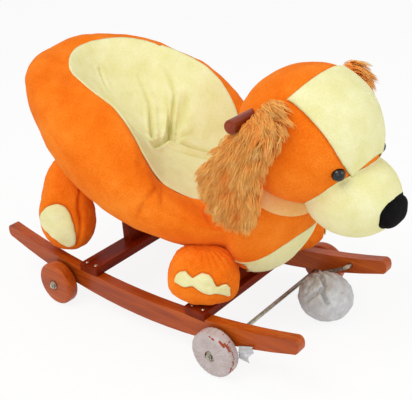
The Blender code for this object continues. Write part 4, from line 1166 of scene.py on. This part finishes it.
dress(wrap, FOAM, "foam", "front_right_wheel", "wheel_wrap_front_right", fill=0.1)

# %% [markdown]
# The rest of that sheet is bunched behind the wheel, between wheel and rocker, and fans out forwards. It
# is a folded grid between four corners, and rides on the axle, because the rocker keeps it from turning.

# %% Loose end of the foam
tail = added("grid", "foam_tail", x_subdivisions=48, y_subdivisions=40, size=2)
square = (points_of(tail)[:, :2] + 1) / 2
u, v = square[:, 0], square[:, 1]
inner_low, inner_high = np.array((0.2160, 0.0345)), np.array((0.2170, 0.0560))
outer_low, outer_high = np.array((0.2325, 0.0315)), np.array((0.2465, 0.0675))
flat = (np.outer((1 - u) * (1 - v), inner_low) + np.outer((1 - u) * v, inner_high)
        + np.outer(u * (1 - v), outer_low) + np.outer(u * v, outer_high))
fold = 0.0013 * np.sin(9.0 * v + 2.5 * u) * (0.35 + 0.65 * u) + 0.0005 * np.sin(23 * v - 5 * u)
flat[:, 0] += 0.0022 * u * np.sin(11 * v + 1.0)
set_points(tail, np.stack([flat[:, 0] - SHIFT, -0.1406 + fold, flat[:, 1]], 1))
applied(tail, "SOLIDIFY", thickness=0.0005, offset=0.0)
dress(tail, FOAM, "foam", "front_axle", fill=0.05)

# %% [markdown]
# The far foam is a gathered bag that hangs on the front bail, inside the far rocker. A sphere is drawn out
# to the neck, pleated round it, and creased along the folds that fall from the neck across the front.

# %% Foam bag
BAG_MIDDLE, BAG_NECK = np.array(place(0.2415, 0.0645, 0.0405)), np.array(place(0.1915, 0.0995, 0.050))
BAG_FOLDS = (        # places in millimetres, then in metres the width and depth
    (((226, 66, 78), (241, 56, 77), (249, 48, 72), (248, 40, 67), (255, 36, 60), (261, 36, 53)),
     0.0030, 0.0090),
    (((246, 42, 69), (241, 34, 62), (232, 28, 52)), 0.0034, 0.0065),
    (((222, 64, 77), (226, 46, 70), (226, 34, 58)), 0.0030, 0.0040),
    (((232, 74, 79), (252, 70, 73), (268, 60, 60)), 0.0032, 0.0035))
BAG_BALL, PULL_FROM, PULL_SHARE = 0.043, 0.72, 0.75
bag = stuffed("foam_bag", BAG_MIDDLE, (0.0450, 0.0445, 0.0385), segments=160, rings=120)
table = points_of(bag)
way = (BAG_NECK - BAG_MIDDLE) / np.linalg.norm(BAG_NECK - BAG_MIDDLE)
rel = unit_rows(table - BAG_MIDDLE)
facing = rel @ way
side_a = unit_rows(np.cross(way, (0, 0, 1.0))[None])[0]
spin = np.arctan2(rel @ np.cross(way, side_a), rel @ side_a)
pull = np.clip((facing - PULL_FROM) / (1 - PULL_FROM), 0, 1)
pleat = np.sin(spin * 15 + 0.9 * np.sin(spin * 4)) * 0.0026 * np.clip((facing + 0.3) / 1.3, 0, 1)
table = table + rel * pleat[:, None]
set_points(bag, table + (BAG_NECK - table) * (PULL_SHARE * pull ** 1.5)[:, None])
settle(bag, 0.0022, 0.022, 8)
for line, width, depth in BAG_FOLDS:
    on_ball = BAG_BALL * unit_rows(np.array(places(line)) - BAG_MIDDLE)
    far, _ = far_from(BAG_BALL * unit_rows(points_of(bag) - BAG_MIDDLE), on_ball)
    swell(bag, -depth * bell(far / width))
mark_tears(bag, [(place(0.2215, 0.0640, 0.0765), 0.0025)])
dress(bag, FOAM, "foam", "front_axle", "foam_bag_front_left", fill=0.3)
